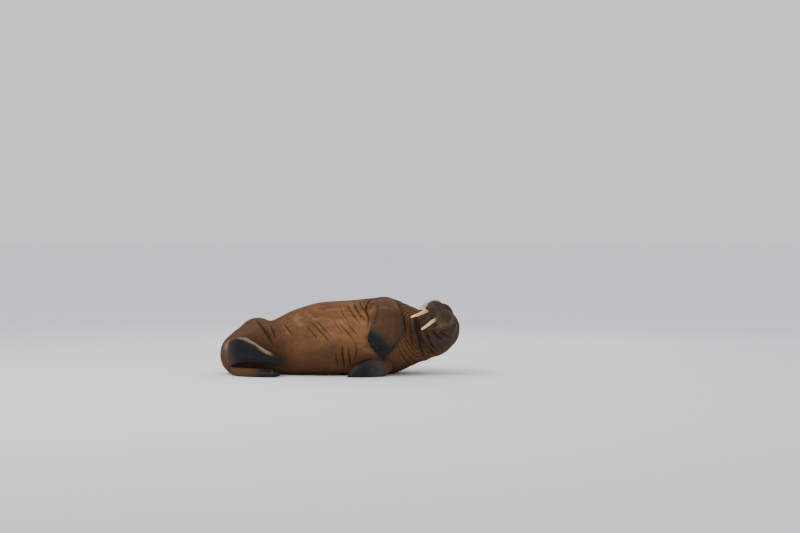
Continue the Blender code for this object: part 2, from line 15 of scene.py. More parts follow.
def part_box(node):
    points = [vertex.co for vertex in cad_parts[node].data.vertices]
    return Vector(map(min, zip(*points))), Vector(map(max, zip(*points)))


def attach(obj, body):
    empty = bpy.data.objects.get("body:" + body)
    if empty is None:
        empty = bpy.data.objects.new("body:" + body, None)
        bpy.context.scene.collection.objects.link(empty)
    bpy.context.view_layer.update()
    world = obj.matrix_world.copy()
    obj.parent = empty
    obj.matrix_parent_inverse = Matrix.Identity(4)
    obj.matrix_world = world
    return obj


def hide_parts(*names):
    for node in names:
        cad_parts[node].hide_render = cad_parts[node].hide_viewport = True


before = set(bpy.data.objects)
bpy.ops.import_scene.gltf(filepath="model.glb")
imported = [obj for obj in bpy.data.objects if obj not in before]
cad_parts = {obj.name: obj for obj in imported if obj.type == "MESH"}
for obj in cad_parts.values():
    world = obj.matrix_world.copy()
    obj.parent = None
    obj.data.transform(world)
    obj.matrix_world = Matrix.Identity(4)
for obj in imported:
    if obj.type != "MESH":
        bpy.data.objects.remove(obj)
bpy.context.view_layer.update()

# The camera
# It stands in front of the belly, far off and a little above the back, and looks slightly down
# through a long lens. Its place is kept as a point of the drawing that the solids were made from.
shift = Vector((0.0091047, 0.0625121, 0.0))  # from the drawing to the solids, centred on the floor
camera_spot = Vector((0.54, -14.27, 1.26))
show = bpy.context.scene.collection.objects.link  # puts an object into the scene
lens_reach = 1555.6  # the lens's reach in dots of an 800 by 533 picture
picture_middle = (400, 266.5)
camera_pitch = math.atan(30.5 / lens_reach)
camera_data = bpy.data.cameras.new("camera")
camera_data.lens = 70
camera_data.sensor_width = 36
camera_data.clip_end = 200
camera = bpy.data.objects.new("camera", camera_data)
camera.location = camera_spot + shift
camera.rotation_euler = (math.pi / 2 - camera_pitch, 0, 0)
show(camera)
bpy.context.scene.camera = camera

# The skin
# One thick hide over trunk, neck, head and flippers, with short hair on most of it. It folds where
# the head bends to the chest, at the armpit and at the haunch, and is bare on soles and margins.
flesh = ("hips", "abdomen", "chest", "neck", "head", "muzzle", "lower_jaw", "tail")
flippers = ("fore_flipper_right", "fore_flipper_left", "hind_flipper_right", "hind_flipper_left")
skin_voxel = 0.0045
skin_triangles = 190000
coat_depth = 0.002
swell = 0.0006  # how far each solid is swollen, so that all join
floor_gap = 0.0012
eye_radius = 0.018

forward = Vector((0.064, -0.660, 0.749)).normalized()
left = Vector((0.843, 0.438, 0.314)).cross(forward).normalized()
head_place = Matrix.Translation(Vector((0.840, -0.350, 0.542)) + shift)
head_place = head_place @ Matrix((forward, left, forward.cross(left))).transposed().to_4x4()
head_turn = np.array(head_place.to_3x3())
mouth_spot = np.array(head_place.translation)


def size_of(vectors):
    """How long each vector is."""
    return np.linalg.norm(vectors, axis=-1)


def unit(vectors):
    """Vectors made one long."""
    return vectors / np.linalg.norm(vectors, axis=-1, keepdims=True)


def in_head(points):
    """Points turned into the head's own frame: forward, left and up from between the tusks."""
    return (points - mouth_spot) @ head_turn


def merged_copy(name, spread=0.0):
    """A node's mesh as a bmesh with its doubles merged, pushed outwards by spread."""
    bm = bmesh.new()
    bm.from_mesh(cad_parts[name].data)
    bmesh.ops.remove_doubles(bm, verts=bm.verts[:], dist=1e-5)
    bm.normal_update()
    for vert in bm.verts:
        vert.co += vert.normal * spread
    return bm


def strip_bristles(bm):
    """Takes the bristles off the muzzle and closes the holes that they leave."""
    thin = 0.005
    surface = BVHTree.FromBMesh(bm)
    bristles = []
    for vert in bm.verts:
        hit, _, _, far = surface.ray_cast(vert.co - vert.normal * 0.0002, -vert.normal, 0.05)
        if hit is not None and far < thin:
            bristles.append(vert)
    bmesh.ops.delete(bm, geom=bristles, context="VERTS")
    bmesh.ops.holes_fill(bm, edges=[e for e in bm.edges if e.is_boundary], sides=30)


def object_of(name, bm):
    """A mesh object at the origin made from a bmesh, which it frees."""
    mesh = bpy.data.meshes.new(name)
    bm.to_mesh(mesh)
    bm.free()
    obj = bpy.data.objects.new(name, mesh)
    show(obj)
    return obj


def join_into(whole, part):
    """Adds a bmesh to another one and frees it."""
    scrap = bpy.data.meshes.new("scrap")
    part.to_mesh(scrap)
    part.free()
    whole.from_mesh(scrap)
    bpy.data.meshes.remove(scrap)


def apply_modifiers(obj):
    """Puts what the modifiers make into the object's own mesh."""
    bpy.context.view_layer.update()
    graph = bpy.context.evaluated_depsgraph_get()
    mesh = bpy.data.meshes.new_from_object(obj.evaluated_get(graph))
    obj.modifiers.clear()
    obj.data = mesh


def spots(mesh):
    """The mesh's vertices as an array."""
    points = np.empty(len(mesh.vertices) * 3, np.float32)
    mesh.vertices.foreach_get("co", points)
    return points.reshape(-1, 3).astype(float)


def vertex_normals(mesh):
    """The directions that the vertices face, as an array."""
    values = np.empty(len(mesh.vertices) * 3, np.float32)
    mesh.vertex_normals.foreach_get("vector", values)
    return values.reshape(-1, 3).astype(float)


def surface_of(obj):
    """The object's faces, to find the points on them that are nearest or hit by a ray."""
    return BVHTree.FromObject(obj, bpy.context.evaluated_depsgraph_get())


def weigh(obj, name, weights):
    """A vertex group with these weights, in sixteen steps."""
    group = obj.vertex_groups.new(name=name)
    steps = np.round(np.clip(weights, 0, 1) * 16).astype(int)
    for step in range(17):
        chosen = np.nonzero(steps == step)[0].tolist()
        if chosen:
            group.add(chosen, step / 16, "REPLACE")


def ease(low, high, values):
    """A smooth rise from 0 at low to 1 at high."""
    t = np.clip((values - low) / (high - low), 0, 1)
    return t * t * (3 - 2 * t)


joined = bmesh.new()
for name in flesh + flippers:
    part = merged_copy(name, swell)
    if name == "muzzle":
        strip_bristles(part)
    join_into(joined, part)
eye_middles = {}
for name in ("eye_left", "eye_right", "tusk_left", "tusk_right"):
    part = merged_copy(name, swell)
    if "eye" in name:
        low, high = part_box(name)
        eye_middles[name] = (low + high) / 2
    else:
        lip = head_place @ Vector((0, 0, -0.026))
        upwards = head_place.to_3x3() @ Vector((0, 0, 1))
        cut = part.verts[:] + part.edges[:] + part.faces[:]
        bmesh.ops.bisect_plane(part, geom=cut, plane_co=lip, plane_no=upwards, clear_inner=True)
        bmesh.ops.holes_fill(part, edges=[e for e in part.edges if e.is_boundary])
    join_into(joined, part)
skin = object_of("skin", joined)
remesh = skin.modifiers.new("remesh", "REMESH")
remesh.mode = "VOXEL"
remesh.voxel_size = skin_voxel
apply_modifiers(skin)

# Which node each vertex of the skin lies on
wall_points, wall_faces, wall_owner = [], [], []
for k, name in enumerate(flesh + flippers):
    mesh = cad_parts[name].data
    start = sum(len(block) for block in wall_points)
    wall_points.append(spots(mesh))
    corners = np.empty(len(mesh.loops), np.int32)
    mesh.loops.foreach_get("vertex_index", corners)
    wall_faces.append(corners.reshape(-1, 3) + start)
    wall_owner += [k] * len(mesh.polygons)
wall = BVHTree.FromPolygons(
    np.concatenate(wall_points).tolist(), np.concatenate(wall_faces).tolist()
)
wall_owner = np.array(wall_owner)


def owners(points):
    """The number of the node that each point is nearest to."""
    return wall_owner[[wall.find_nearest(p)[2] for p in points.tolist()]]


def share_of(mesh, values, rounds):
    """Values on the vertices, spread to their neighbours."""
    edges = np.empty(len(mesh.edges) * 2, np.int32)
    mesh.edges.foreach_get("vertices", edges)
    a, b = edges.reshape(-1, 2).T
    count = np.bincount(a, minlength=len(values)) + np.bincount(b, minlength=len(values))
    for _ in range(rounds):
        total = np.bincount(a, values[b], len(values)) + np.bincount(b, values[a], len(values))
        values = 0.4 * values + 0.6 * total / np.maximum(count, 1)
    return values


def nearest_on_line(flat, line):
    """How far flat points are from a line, and what share of its length lies before the spot."""
    line = np.array(line, float)
    lengths = size_of(np.diff(line, axis=0))
    starts = np.concatenate(([0], np.cumsum(lengths)[:-1]))
    best, share = np.full(len(flat), 1e9), np.zeros(len(flat))
    for a, b, size, start in zip(line[:-1], line[1:], lengths, starts):
        t = np.clip((flat - a) @ (b - a) / size**2, 0, 1)
        far = size_of(flat - a - t[:, None] * (b - a))
        closer = far < best
        best[closer] = far[closer]
        share[closer] = (start + t * size)[closer] / lengths.sum()
    return best, share


# Each flipper's leading and trailing edge, from root to tip
sheets = {
    "fore_flipper_right": (
        ((0.500, -0.110, 0.640), (0.580, -0.300, 0.490), (0.510, -0.378, 0.285), (0.392, -0.372, 0.128)),
        ((0.300, -0.150, 0.630), (0.276, -0.345, 0.530), (0.262, -0.425, 0.400), (0.240, -0.432, 0.330)),
    ),
    "fore_flipper_left": (
        ((0.450, -0.270, 0.040), (0.290, -0.425, 0.010), (0.060, -0.445, 0.008)),
        ((0.420, -0.230, 0.150), (0.290, -0.372, 0.160), (0.130, -0.410, 0.095)),
    ),
    "hind_flipper_right": (
        ((-1.010, -0.170, 0.310), (-0.855, -0.282, 0.350), (-0.612, -0.362, 0.215), (-0.505, -0.390, 0.180)),
        ((-1.010, -0.175, 0.085), (-0.860, -0.285, 0.105), (-0.640, -0.362, 0.104), (-0.535, -0.392, 0.092)),
    ),
    "hind_flipper_left": (
        ((-0.980, -0.150, 0.050), (-0.860, -0.290, 0.062), (-0.640, -0.370, 0.060), (-0.540, -0.385, 0.050)),
        ((-0.990, -0.230, 0.030), (-0.850, -0.395, 0.024), (-0.620, -0.450, 0.020), (-0.520, -0.452, 0.018)),
    ),
}


def on_sheet(points, name):
    """How far points are from a flipper's two edges, and their share of the way to its tip."""
    lead, trail = (np.array(line) + shift for line in sheets[name])
    (near_lead, u), (near_trail, v) = nearest_on_line(points, lead), nearest_on_line(points, trail)
    return near_lead, near_trail, (u + v) / 2


# Each part of the skin is smoothed by its own number of rounds: most where the flippers are rooted,
# fewer on the body, the tips and the limbs, and fewest on the face and the hands
points = spots(skin.data)
owner = owners(points)
on_flipper = share_of(skin.data, (owner >= len(flesh)).astype(float), 3)
near_face = 1 - ease(0.10, 0.34, size_of(in_head(points) - (0, 0, 0.05)))
rooted = share_of(skin.data, (owner >= len(flesh)).astype(float), 45)
rooted = np.clip(4.4 * rooted * (1 - rooted), 0, 1)
limbs, tips = np.zeros(len(points)), np.zeros(len(points))
for k, name in enumerate(flippers):
    _, _, along = on_sheet(points, name)
    mine = owner == len(flesh) + k
    hand = ease(0.40, 0.60, along) * (1 - ease(0.80, 0.92, along))
    limbs = np.where(mine, 1 - 0.9 * hand, limbs)
    tips = np.where(mine, ease(0.84, 0.95, along), tips)
    near = size_of(points - np.array(sheets[name][0][0]) - shift) < 0.5
    rooted = np.where(near, rooted * (1 - ease(0.26, 0.46, along)), rooted)
weigh(skin, "slack", np.clip(1 - on_flipper, 0, 1) * (1 - 0.94 * near_face))
weigh(skin, "all", np.ones(len(points)))
weigh(skin, "roots", rooted)
weigh(skin, "limbs", limbs)
weigh(skin, "tips", tips)
for group, rounds in (("slack", 55), ("roots", 90), ("limbs", 26), ("tips", 60), ("all", 5)):
    smooth = skin.modifiers.new("smooth", "SMOOTH")
    smooth.vertex_group = group
    smooth.factor = 0.5
    smooth.iterations = rounds
apply_modifiers(skin)


def move_skin(points):
    """Writes the skin's points back."""
    skin.data.vertices.foreach_set("co", points.astype(np.float32).ravel())
    skin.data.update()


# The smoothed skin goes back out to the solids' level
points = spots(skin.data)
normals = vertex_normals(skin.data)
nearest = [wall.find_nearest(p)[0] for p in points.tolist()]
lost = np.einsum("ij,ij->i", np.array(nearest) - points, normals)
lost = share_of(skin.data, np.clip(lost, -0.012, 0.016), 60) * np.clip(1 - on_flipper, 0, 1)
points += normals * lost[:, None]
move_skin(points)

# The eyes, nostrils, lips and tusks in the head's frame
surface = surface_of(skin)
eyes = []
for name, middle in eye_middles.items():
    middle = in_head(np.array([middle]))[0]
    ring = in_head(points)
    ring = ring[size_of(ring - middle) < 0.034]
    out = ring.mean(axis=0) - middle
    eyes.append((name, middle, unit(out)))
nostrils = []
for side in (1, -1):
    aim = head_place.to_3x3() @ Vector((-0.62, 0.0, -0.78))
    start = head_place @ Vector((0.160, side * 0.022, 0.240))
    hit, out, _, _ = surface.ray_cast(start, aim)
    out = head_place.to_3x3().transposed() @ out
    nostrils.append((side, in_head(np.array([hit]))[0], np.array(out)))
lip_middle = np.array((-0.060, 0.0, -0.0155))
lip_down = np.array((-0.268, 0.0, -0.963))
lip_ahead = np.array((0.963, 0.0, -0.268))


def past_lip(local):
    """How far points lie below the mouth line, and how much of the line is there."""
    offset = local - lip_middle
    turn = np.arctan2(np.abs(offset[:, 1]), offset @ lip_ahead)
    return offset @ lip_down, 1 - ease(1.20, 1.50, turn)


tusk_shares = np.linspace(0, 1, 21)


def tusk_line(side):
    """The tusk's middle line in the head's frame: splayed outwards and curled back."""
    t = tusk_shares
    back = 0.012 + 0.010 * np.sin(np.pi * np.minimum(1, 1.6 * t)) - 0.014 * t**2
    return np.stack((back, side * (0.058 + 0.030 * t), 0.012 - 0.200 * t), 1)


# Finer faces on the muzzle and cheeks, and finer again round the eyes, nostrils and lips
for level in range(2):
    bm = bmesh.new()
    bm.from_mesh(skin.data)
    places = in_head(np.array([v.co for v in bm.verts]))
    if level == 0:
        near = size_of(places - (-0.02, 0, 0.06)) < 0.190
        for _, middle, _ in eyes:
            near |= size_of(places - middle) < 0.060
    else:
        near = np.zeros(len(places), bool)
        for _, middle, _ in eyes:
            near |= size_of(places - middle) < 0.036
        for _, middle, _ in nostrils:
            near |= size_of(places - middle) < 0.026
        below, there = past_lip(places)
        near |= (np.abs(below) < 0.012) & (there > 0.1)
    inside = near.tolist()
    edges = [e for e in bm.edges if inside[e.verts[0].index] and inside[e.verts[1].index]]
    bmesh.ops.subdivide_edges(bm, edges=edges, cuts=1, use_grid_fill=True, smooth=0.6)
    bm.to_mesh(skin.data)
    bm.free()


def noise(points, seed):
    """Smooth noise from -1 to 1, one cell to the unit."""
    cell = np.floor(points).astype(np.int64)
    share = points - cell
    share = share * share * (3 - 2 * share)
    total = np.zeros(len(points))
    for corner in range(8):
        step = np.array([corner & 1, corner >> 1 & 1, corner >> 2 & 1])
        x, y, z = (cell + step).T
        mixed = (x * 73856093 ^ y * 19349663 ^ z * 83492791 ^ seed * 2654435761) & 0xFFFFFFFF
        mixed = (mixed ^ mixed >> 13) * 1274126177 & 0xFFFFFFFF
        mixed = (mixed ^ mixed >> 16) & 0xFFFF
        weight = np.prod(np.where(step, share, 1 - share), axis=1)
        total += weight * (mixed / 32767.5 - 1)
    return total


def seen_at(points):
    """Where the camera sees each point, in the picture's dots, and a dot's size there."""
    ahead = np.array([0, math.cos(camera_pitch), -math.sin(camera_pitch)])
    above = np.array([0, math.sin(camera_pitch), math.cos(camera_pitch)])
    offset = points - np.array(camera.location)
    far = offset @ ahead
    across = picture_middle[0] + lens_reach * offset[:, 0] / far
    down = picture_middle[1] - lens_reach * (offset @ above) / far
    return np.stack((across, down), 1), far / lens_reach


# Folds on the side that faces the camera, as lines in its picture: width and depth, then points
front_folds = (
    (0.016, 0.020, ((254, 317), (261, 325), (267, 334), (272, 346))),
    (0.010, 0.008, ((268, 323), (273, 331), (276, 340))),
    (0.011, 0.010, ((284, 324), (289, 331), (295, 337))),
    (0.011, 0.011, ((309, 321), (316, 327), (325, 337), (331, 345))),
    (0.009, 0.007, ((315, 320), (323, 328), (332, 338))),
    (0.009, 0.006, ((305, 325), (312, 332), (318, 341))),
    (0.009, 0.008, ((338, 322), (346, 331), (353, 339), (357, 346))),
    (0.008, 0.006, ((347, 322), (353, 330), (360, 338))),
    (0.008, 0.005, ((332, 318), (338, 327), (344, 334))),
    (0.011, 0.013, ((342, 344), (343, 355), (344, 369))),
    (0.009, 0.010, ((348, 347), (350, 357), (350, 368))),
    (0.009, 0.009, ((356, 341), (357, 350), (356, 362))),
    (0.008, 0.006, ((336, 350), (336, 358), (338, 368))),
    (0.011, 0.013, ((353, 299), (355, 307), (360, 315), (367, 321))),
    (0.009, 0.009, ((347, 302), (350, 310), (356, 319), (364, 327))),
    (0.008, 0.007, ((359, 299), (361, 306), (367, 314))),
    (0.008, 0.005, ((340, 305), (343, 314), (349, 323))),
    (0.011, 0.016, ((373, 297), (368, 303), (366, 310), (369, 319), (368, 329))),
    (0.007, 0.006, ((368, 307), (373, 304), (379, 306))),
    (0.006, 0.004, ((368, 311), (372, 309), (376, 311))),
    (0.022, 0.010, ((377, 299), (378, 307), (377, 316), (374, 325))),
    (0.012, 0.014, ((397, 301), (400, 308), (403, 316), (406, 325), (406, 336))),
    (0.015, 0.028, ((416, 312), (417, 322), (418, 332), (420, 342), (424, 358))),
    (0.012, 0.014, ((410, 314), (410, 326), (411, 338), (413, 352))),
    (0.012, 0.024, ((423, 327), (426, 334), (429, 341), (434, 350))),
    (0.012, 0.021, ((430, 328), (435, 334), (441, 340), (446, 343))),
    (0.010, 0.014, ((437, 330), (445, 335), (453, 340))),
    (0.009, 0.010, ((427, 344), (432, 352), (437, 360))),
    (0.009, 0.008, ((436, 344), (443, 351), (449, 356))),
)

# The line through the middle of the body, from the nose to the tail
head_spine = ((0.09, 0, 0.07), (0.0, 0, 0.07), (-0.15, 0, 0.05))
body_spine = (
    (0.800, 0.000, 0.380),
    (0.680, 0.020, 0.345),
    (0.430, 0.0, 0.335),
    (0.080, 0.0, 0.315),
    (-0.420, 0.0, 0.270),
    (-0.700, 0.01, 0.230),
    (-0.90, 0.02, 0.190),
    (-1.12, 0.04, 0.15),
)
spine = [head_place @ Vector(p) for p in head_spine] + [Vector(p) + shift for p in body_spine]
spine = np.array(spine)
spine_lengths = size_of(np.diff(spine, axis=0))
spine_stations = np.concatenate(([0], np.cumsum(spine_lengths)))


def along_spine(points):
    """The distance from the nose along the spine, and the direction towards the tail there."""
    places, tails, total = np.zeros(len(points)), np.zeros((len(points), 3)), np.zeros(len(points))
    for a, b, size, start in zip(spine[:-1], spine[1:], spine_lengths, spine_stations):
        t = np.clip((points - a) @ (b - a) / size**2, 0, 1)
        far = size_of(points - a - t[:, None] * (b - a))
        weight = 1 / (far + 0.01) ** 6
        places += weight * (start + t * size)
        tails += weight[:, None] * (b - a) / size
        total += weight
    tails /= total[:, None]
    return places / total, unit(tails)


def bell(values):
    """1 at 0, and falling away on both sides."""
    return np.exp(-(values**2))


def groove(far, width, depth):
    """A fold's profile: a valley between two low banks."""
    lip = 0.26
    banks = bell((far - 2.4 * width) / (1.3 * width))
    return lip * depth * banks - depth * bell(far / width)


# Layers of wrinkles: how many cross a metre, their height, a number for the noise and their slant
wrinkle_layers = ((13.0, 0.0026, 22, 0.20), (27.0, 0.0018, 23, -0.20), (55.0, 0.0011, 24, 0.2))


def carve(points, flipper):
    """How far the skin rises at each point, and how deep in a fold it is, from 0 to 1, which sets the folds'
    painted shade.
    """
    flesh_share = 1 - flipper
    seen, dot = seen_at(points)
    place, _ = along_spine(points)
    local = in_head(points)
    rise = (0.0040 * noise(points * 6.0, 3) + 0.0016 * noise(points * 15.0, 6)) * flesh_share
    crease = np.zeros(len(points))
    front = ease(0.10, -0.06, points[:, 1]) * (1 - flipper * ease(318, 328, seen[:, 1]))
    waver = 0.9 * noise(points * 11.0, 4) + 0.35 * noise(points * 30.0, 5)
    for width, depth, line in front_folds:
        far, share = nearest_on_line(seen + waver[:, None], line)
        ends = np.sin(np.pi * np.clip(share, 0.01, 0.99))
        far = np.sqrt((far * dot) ** 2 + 1e-9)
        rise += groove(far, width * (0.55 + 0.45 * ends), depth) * ends * front
        # painted shade along the bottom of the fold
        dark = bell(far / (0.60 * width)) * ends * front * min(1.0, depth / 0.016)
        crease = np.maximum(crease, dark)
    # Rings round the neck, deeper on the throat than on the nape
    throat = ease(0.12, -0.16, points[:, 1] - shift.y)
    neck = ease(0.30, 0.36, place) * (1 - ease(0.66, 0.86, place)) * flesh_share
    wander = 0.026 * noise(points * 5, 11) + 0.010 * noise(points * 13, 12)
    for ring in (0.33, 0.385, 0.43, 0.485, 0.535, 0.60, 0.665):
        far = np.abs(place - ring + wander)
        depth = (0.0035 + 0.005 * throat) * neck
        depth *= 0.50 + 0.50 * noise(points * 5 + ring * 40, 13)
        rise += groove(far, 0.010, depth)
        crease = np.maximum(crease, 0.8 * bell(far / 0.006) * depth / 0.009)
    # Wrinkles across the body, deeper towards the head
    bend = 0.030 * noise(points * 4.0, 21) + 0.014 * noise(points * 11.0, 25)
    face = 1 - ease(0.30, 0.45, place)
    ahead = ease(1.00, 0.55, place)
    for scale, height, seed, slant in wrinkle_layers:
        lean = slant * (points[:, 2] - 0.35) * np.sign(-points[:, 1] + shift.y)
        across = np.stack((place + bend + lean, points[:, 1] * 0.30, points[:, 2] * 0.30), 1)
        across *= scale
        line = np.clip(1 - np.abs(noise(across, seed)) - 0.60, 0, 1) / 0.40
        patchy = 0.25 + 0.75 * ease(-0.2, 0.6, noise(points * 4.0, seed + 30))
        patchy *= 0.35 + 0.65 * ahead
        rise -= height * line**2 * patchy * (flesh_share * (1 - 0.6 * face) + 0.35 * flipper)
        crease = np.maximum(crease, 0.35 * line**3 * patchy * flesh_share * (1 - face))
    # Fine folds over the crown and cheeks
    fine = 1 - np.abs(noise(local * (52, 36, 52), 27))
    fine = np.clip(fine - 0.75, 0, 1) / 0.25
    rise -= 0.0016 * fine * face * flesh_share
    crease = np.maximum(crease, 0.32 * fine * face * flesh_share)
    rise -= coat_depth * flesh_share
    return rise, crease


points = spots(skin.data)
normals = vertex_normals(skin.data)
flipper_share = share_of(skin.data, (owners(points) >= len(flesh)).astype(float), 4)
rise, _ = carve(points, flipper_share)
points += normals * rise[:, None]

# Whisker roots: rows over each pad of the muzzle, found by rays onto it
surface = surface_of(skin)
draw = np.random.default_rng(5)
pad_rows, pad_columns = 14, 19
follicles = []
for side in (1, -1):
    for row in range(pad_rows):
        height = math.radians(52 - 100 * row / (pad_rows - 1))
        for column in range(pad_columns):
            swing = math.radians(-12 + 122 * (column + 0.5 * (row % 2)) / pad_columns)
            swing += draw.uniform(-0.02, 0.02)
            raised = height + draw.uniform(-0.02, 0.02)
            flat = math.cos(raised)
            out = Vector((flat * math.cos(swing), side * flat * math.sin(swing), math.sin(raised)))
            start = head_place @ Vector((0.006, side * 0.062, 0.055))
            turned = head_place.to_3x3() @ out
            hit = surface.ray_cast(start + turned * 0.25, -turned)[0]
            if hit is not None and (hit - start).length < 0.12:
                follicles.append((side, row, column, in_head(np.array([hit]))[0]))
roots = np.array([root for _, _, _, root in follicles])


def carve_face(local, out):
    """Moves points of the head, given in its frame with their normals, into lids, lips and pads."""
    # Follicles: each whisker stands on a low wart with a dip in its middle
    pads = np.nonzero(size_of(local - (0.01, 0, 0.05)) < 0.15)[0]
    far = np.full(len(local), 1.0)
    for start in range(0, len(pads), 4000):
        some = pads[start : start + 4000]
        gaps = size_of(local[some][:, None] - roots[None])
        far[some] = gaps.min(axis=1)
    rise = 0.0019 * bell(far / 0.0030) - 0.0010 * bell(far / 0.0011)
    # The mouth line between full lips
    below, there = past_lip(local)
    rise += there * (0.0020 * bell((np.abs(below) - 0.007) / 0.0035))
    rise -= there * 0.0085 * bell(below / 0.0021)
    # The gum round each tusk
    for side in (1, -1):
        line = tusk_line(side)
        far = size_of(local[:, None] - line[None, ::2]).min(axis=1)
        rise += 0.0030 * bell((far - 0.0235) / 0.0045)
        rise -= 0.0030 * bell((far - 0.0160) / 0.0025)
    # Nostrils: two crescent slits with a raised rim
    for side, middle, normal in nostrils:
        ahead = np.array((1.0, side * -0.45, 0.0))
        ahead -= normal * (ahead @ normal)
        ahead = unit(ahead)
        over = np.cross(normal, ahead)
        x, y = (local - middle) @ ahead / 0.0135, (local - middle) @ over
        close = np.abs((local - middle) @ normal) < 0.02
        y = y + side * 0.0050 * (x**2 - 0.3)
        half = 0.0034 * np.sqrt(np.clip(1 - x**2, 0, 1)) + 1e-5
        slit = np.clip(1 - (y / half) ** 2, 0, 1) ** 0.5 * (np.abs(x) < 1) * close
        bank = bell((np.hypot(x * 0.0135, y) - 0.0115) / 0.0045) * close
        rise += 0.0016 * bank * (1 - slit) - 0.0095 * slit
    moved = local + out * rise[:, None]
    # Lids: a ring of skin that stands off each eyeball round an almond opening
    for _, middle, normal in eyes:
        ahead = np.array((1.0, 0.0, -0.15))
        ahead -= normal * (ahead @ normal)
        ahead = unit(ahead)
        over = np.cross(normal, ahead)
        over *= np.sign(over[2])
        offset = moved - middle
        size = size_of(offset)
        x, y, high = offset @ ahead, offset @ over, offset @ normal
        s = np.hypot(x / 0.0158, (y + 0.0010) / 0.0112)
        inner, rim = eye_radius - 0.0035, eye_radius + 0.0024
        target = inner + (rim - inner) * ease(0.90, 1.12, s)
        for ring, depth in ((1.55, 0.0020), (2.05, 0.0016), (2.6, 0.0012)):
            wobble = 0.10 * np.sin(7 * np.arctan2(y, x))
            target = target - depth * bell((s - ring + wobble) / 0.16)
        weight = (1 - ease(1.4, 3.2, s)) * (high > -0.004) * (size < 0.07)
        moved = moved + offset * ((target - size) / np.maximum(size, 1e-6) * weight)[:, None]
    return moved


# The flippers that lie on the floor are pressed flat below, and nothing goes under it
resting = flipper_share * (normals[:, 2] < 0.3) * (points[:, 2] < 0.035)
sunk = floor_gap + (points[:, 2] - floor_gap) * ease(0.010, 0.032, points[:, 2])
points[:, 2] += (sunk - points[:, 2]) * resting
local = in_head(points)
face = np.nonzero(size_of(local - (-0.02, 0, 0.06)) < 0.24)[0]
carved = carve_face(local[face], (normals @ head_turn)[face])
points[face] = carved @ head_turn.T + mouth_spot
points[:, 2] = np.maximum(points[:, 2], floor_gap)
move_skin(points)

# Fewer faces where the form is calm
points = spots(skin.data)
local = in_head(points)
near_face = 1 - ease(0.12, 0.34, size_of(local - (0, 0, 0.05)))
weigh(skin, "calm", 0.62 - 0.56 * near_face)
thin = skin.modifiers.new("thin", "DECIMATE")
skin.data.calc_loop_triangles()
thin.ratio = skin_triangles / len(skin.data.loop_triangles)
thin.vertex_group = "calm"
thin.vertex_group_factor = 0.0005
thin.use_collapse_triangulate = True
apply_modifiers(skin)
skin.vertex_groups.clear()
skin.data.shade_smooth()
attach(skin, "root")
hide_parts(*flesh, *flippers)

# The hide's colours, worked out at each vertex: warm brown on the trunk, darker towards the head,
# black-grey on soles and margins, tan at the armpit. Painted shade darkens it towards the floor and in
# the folds; a pale tan rim round the sole is a painted highlight, and pale mottles on the upper trunk
# are partly painted sheen.
def patch(points, middle, reach, soft=0.5):
    """1 inside an oval and 0 outside it, with a soft edge."""
    size = size_of((points - np.array(middle)) / np.array(reach))
    return 1 - ease(1 - soft, 1 + soft, size)


trunk_brown = (0.176, 0.081, 0.031)
back_brown = (0.160, 0.074, 0.030)
low_shade_brown = (0.086, 0.037, 0.014)
haunch_brown = (0.112, 0.059, 0.029)
groin_brown = (0.088, 0.037, 0.014)
shoulder_brown = (0.092, 0.043, 0.017)
arm_brown = (0.064, 0.032, 0.015)
chest_orange = (0.310, 0.150, 0.062)
armpit_tan = (0.270, 0.120, 0.048)
rim_highlight_tan = (0.250, 0.185, 0.130)
neck_brown = (0.135, 0.061, 0.024)
head_brown = (0.053, 0.031, 0.019)
throat_brown = (0.060, 0.039, 0.026)
pad_brown = (0.044, 0.028, 0.020)
sole_grey = (0.011, 0.011, 0.013)
margin_grey = (0.044, 0.039, 0.037)
lip_pink = (0.110, 0.056, 0.044)
navel_grey = (0.060, 0.045, 0.042)
streak_and_sheen_tan = (0.420, 0.240, 0.120)
# painted shade: how much the bottoms of folds are darkened
fold_shade, tuft_fold_shade = 0.62, 0.30  # how much darker a fold's bottom is, on hide and tufts
# From where to where along each flipper its bare skin turns from grey to nearly black
deepest = {
    "fore_flipper_right": (0.55, 0.90),
    "fore_flipper_left": (0.35, 0.80),
    "hind_flipper_right": (-0.05, 0.30),
    "hind_flipper_left": (0.20, 0.70),
}
# Pale streaks on the side that faces the camera, as lines in its picture
streaks = (
    ((293, 318), (299, 322), (303, 327)),
    ((305, 314), (312, 317), (317, 321)),
    ((318, 325), (322, 331)),
    ((286, 331), (290, 333)),
    ((330, 331), (336, 338)),
    ((313, 309), (322, 311)),
    ((339, 319), (343, 323)),
)


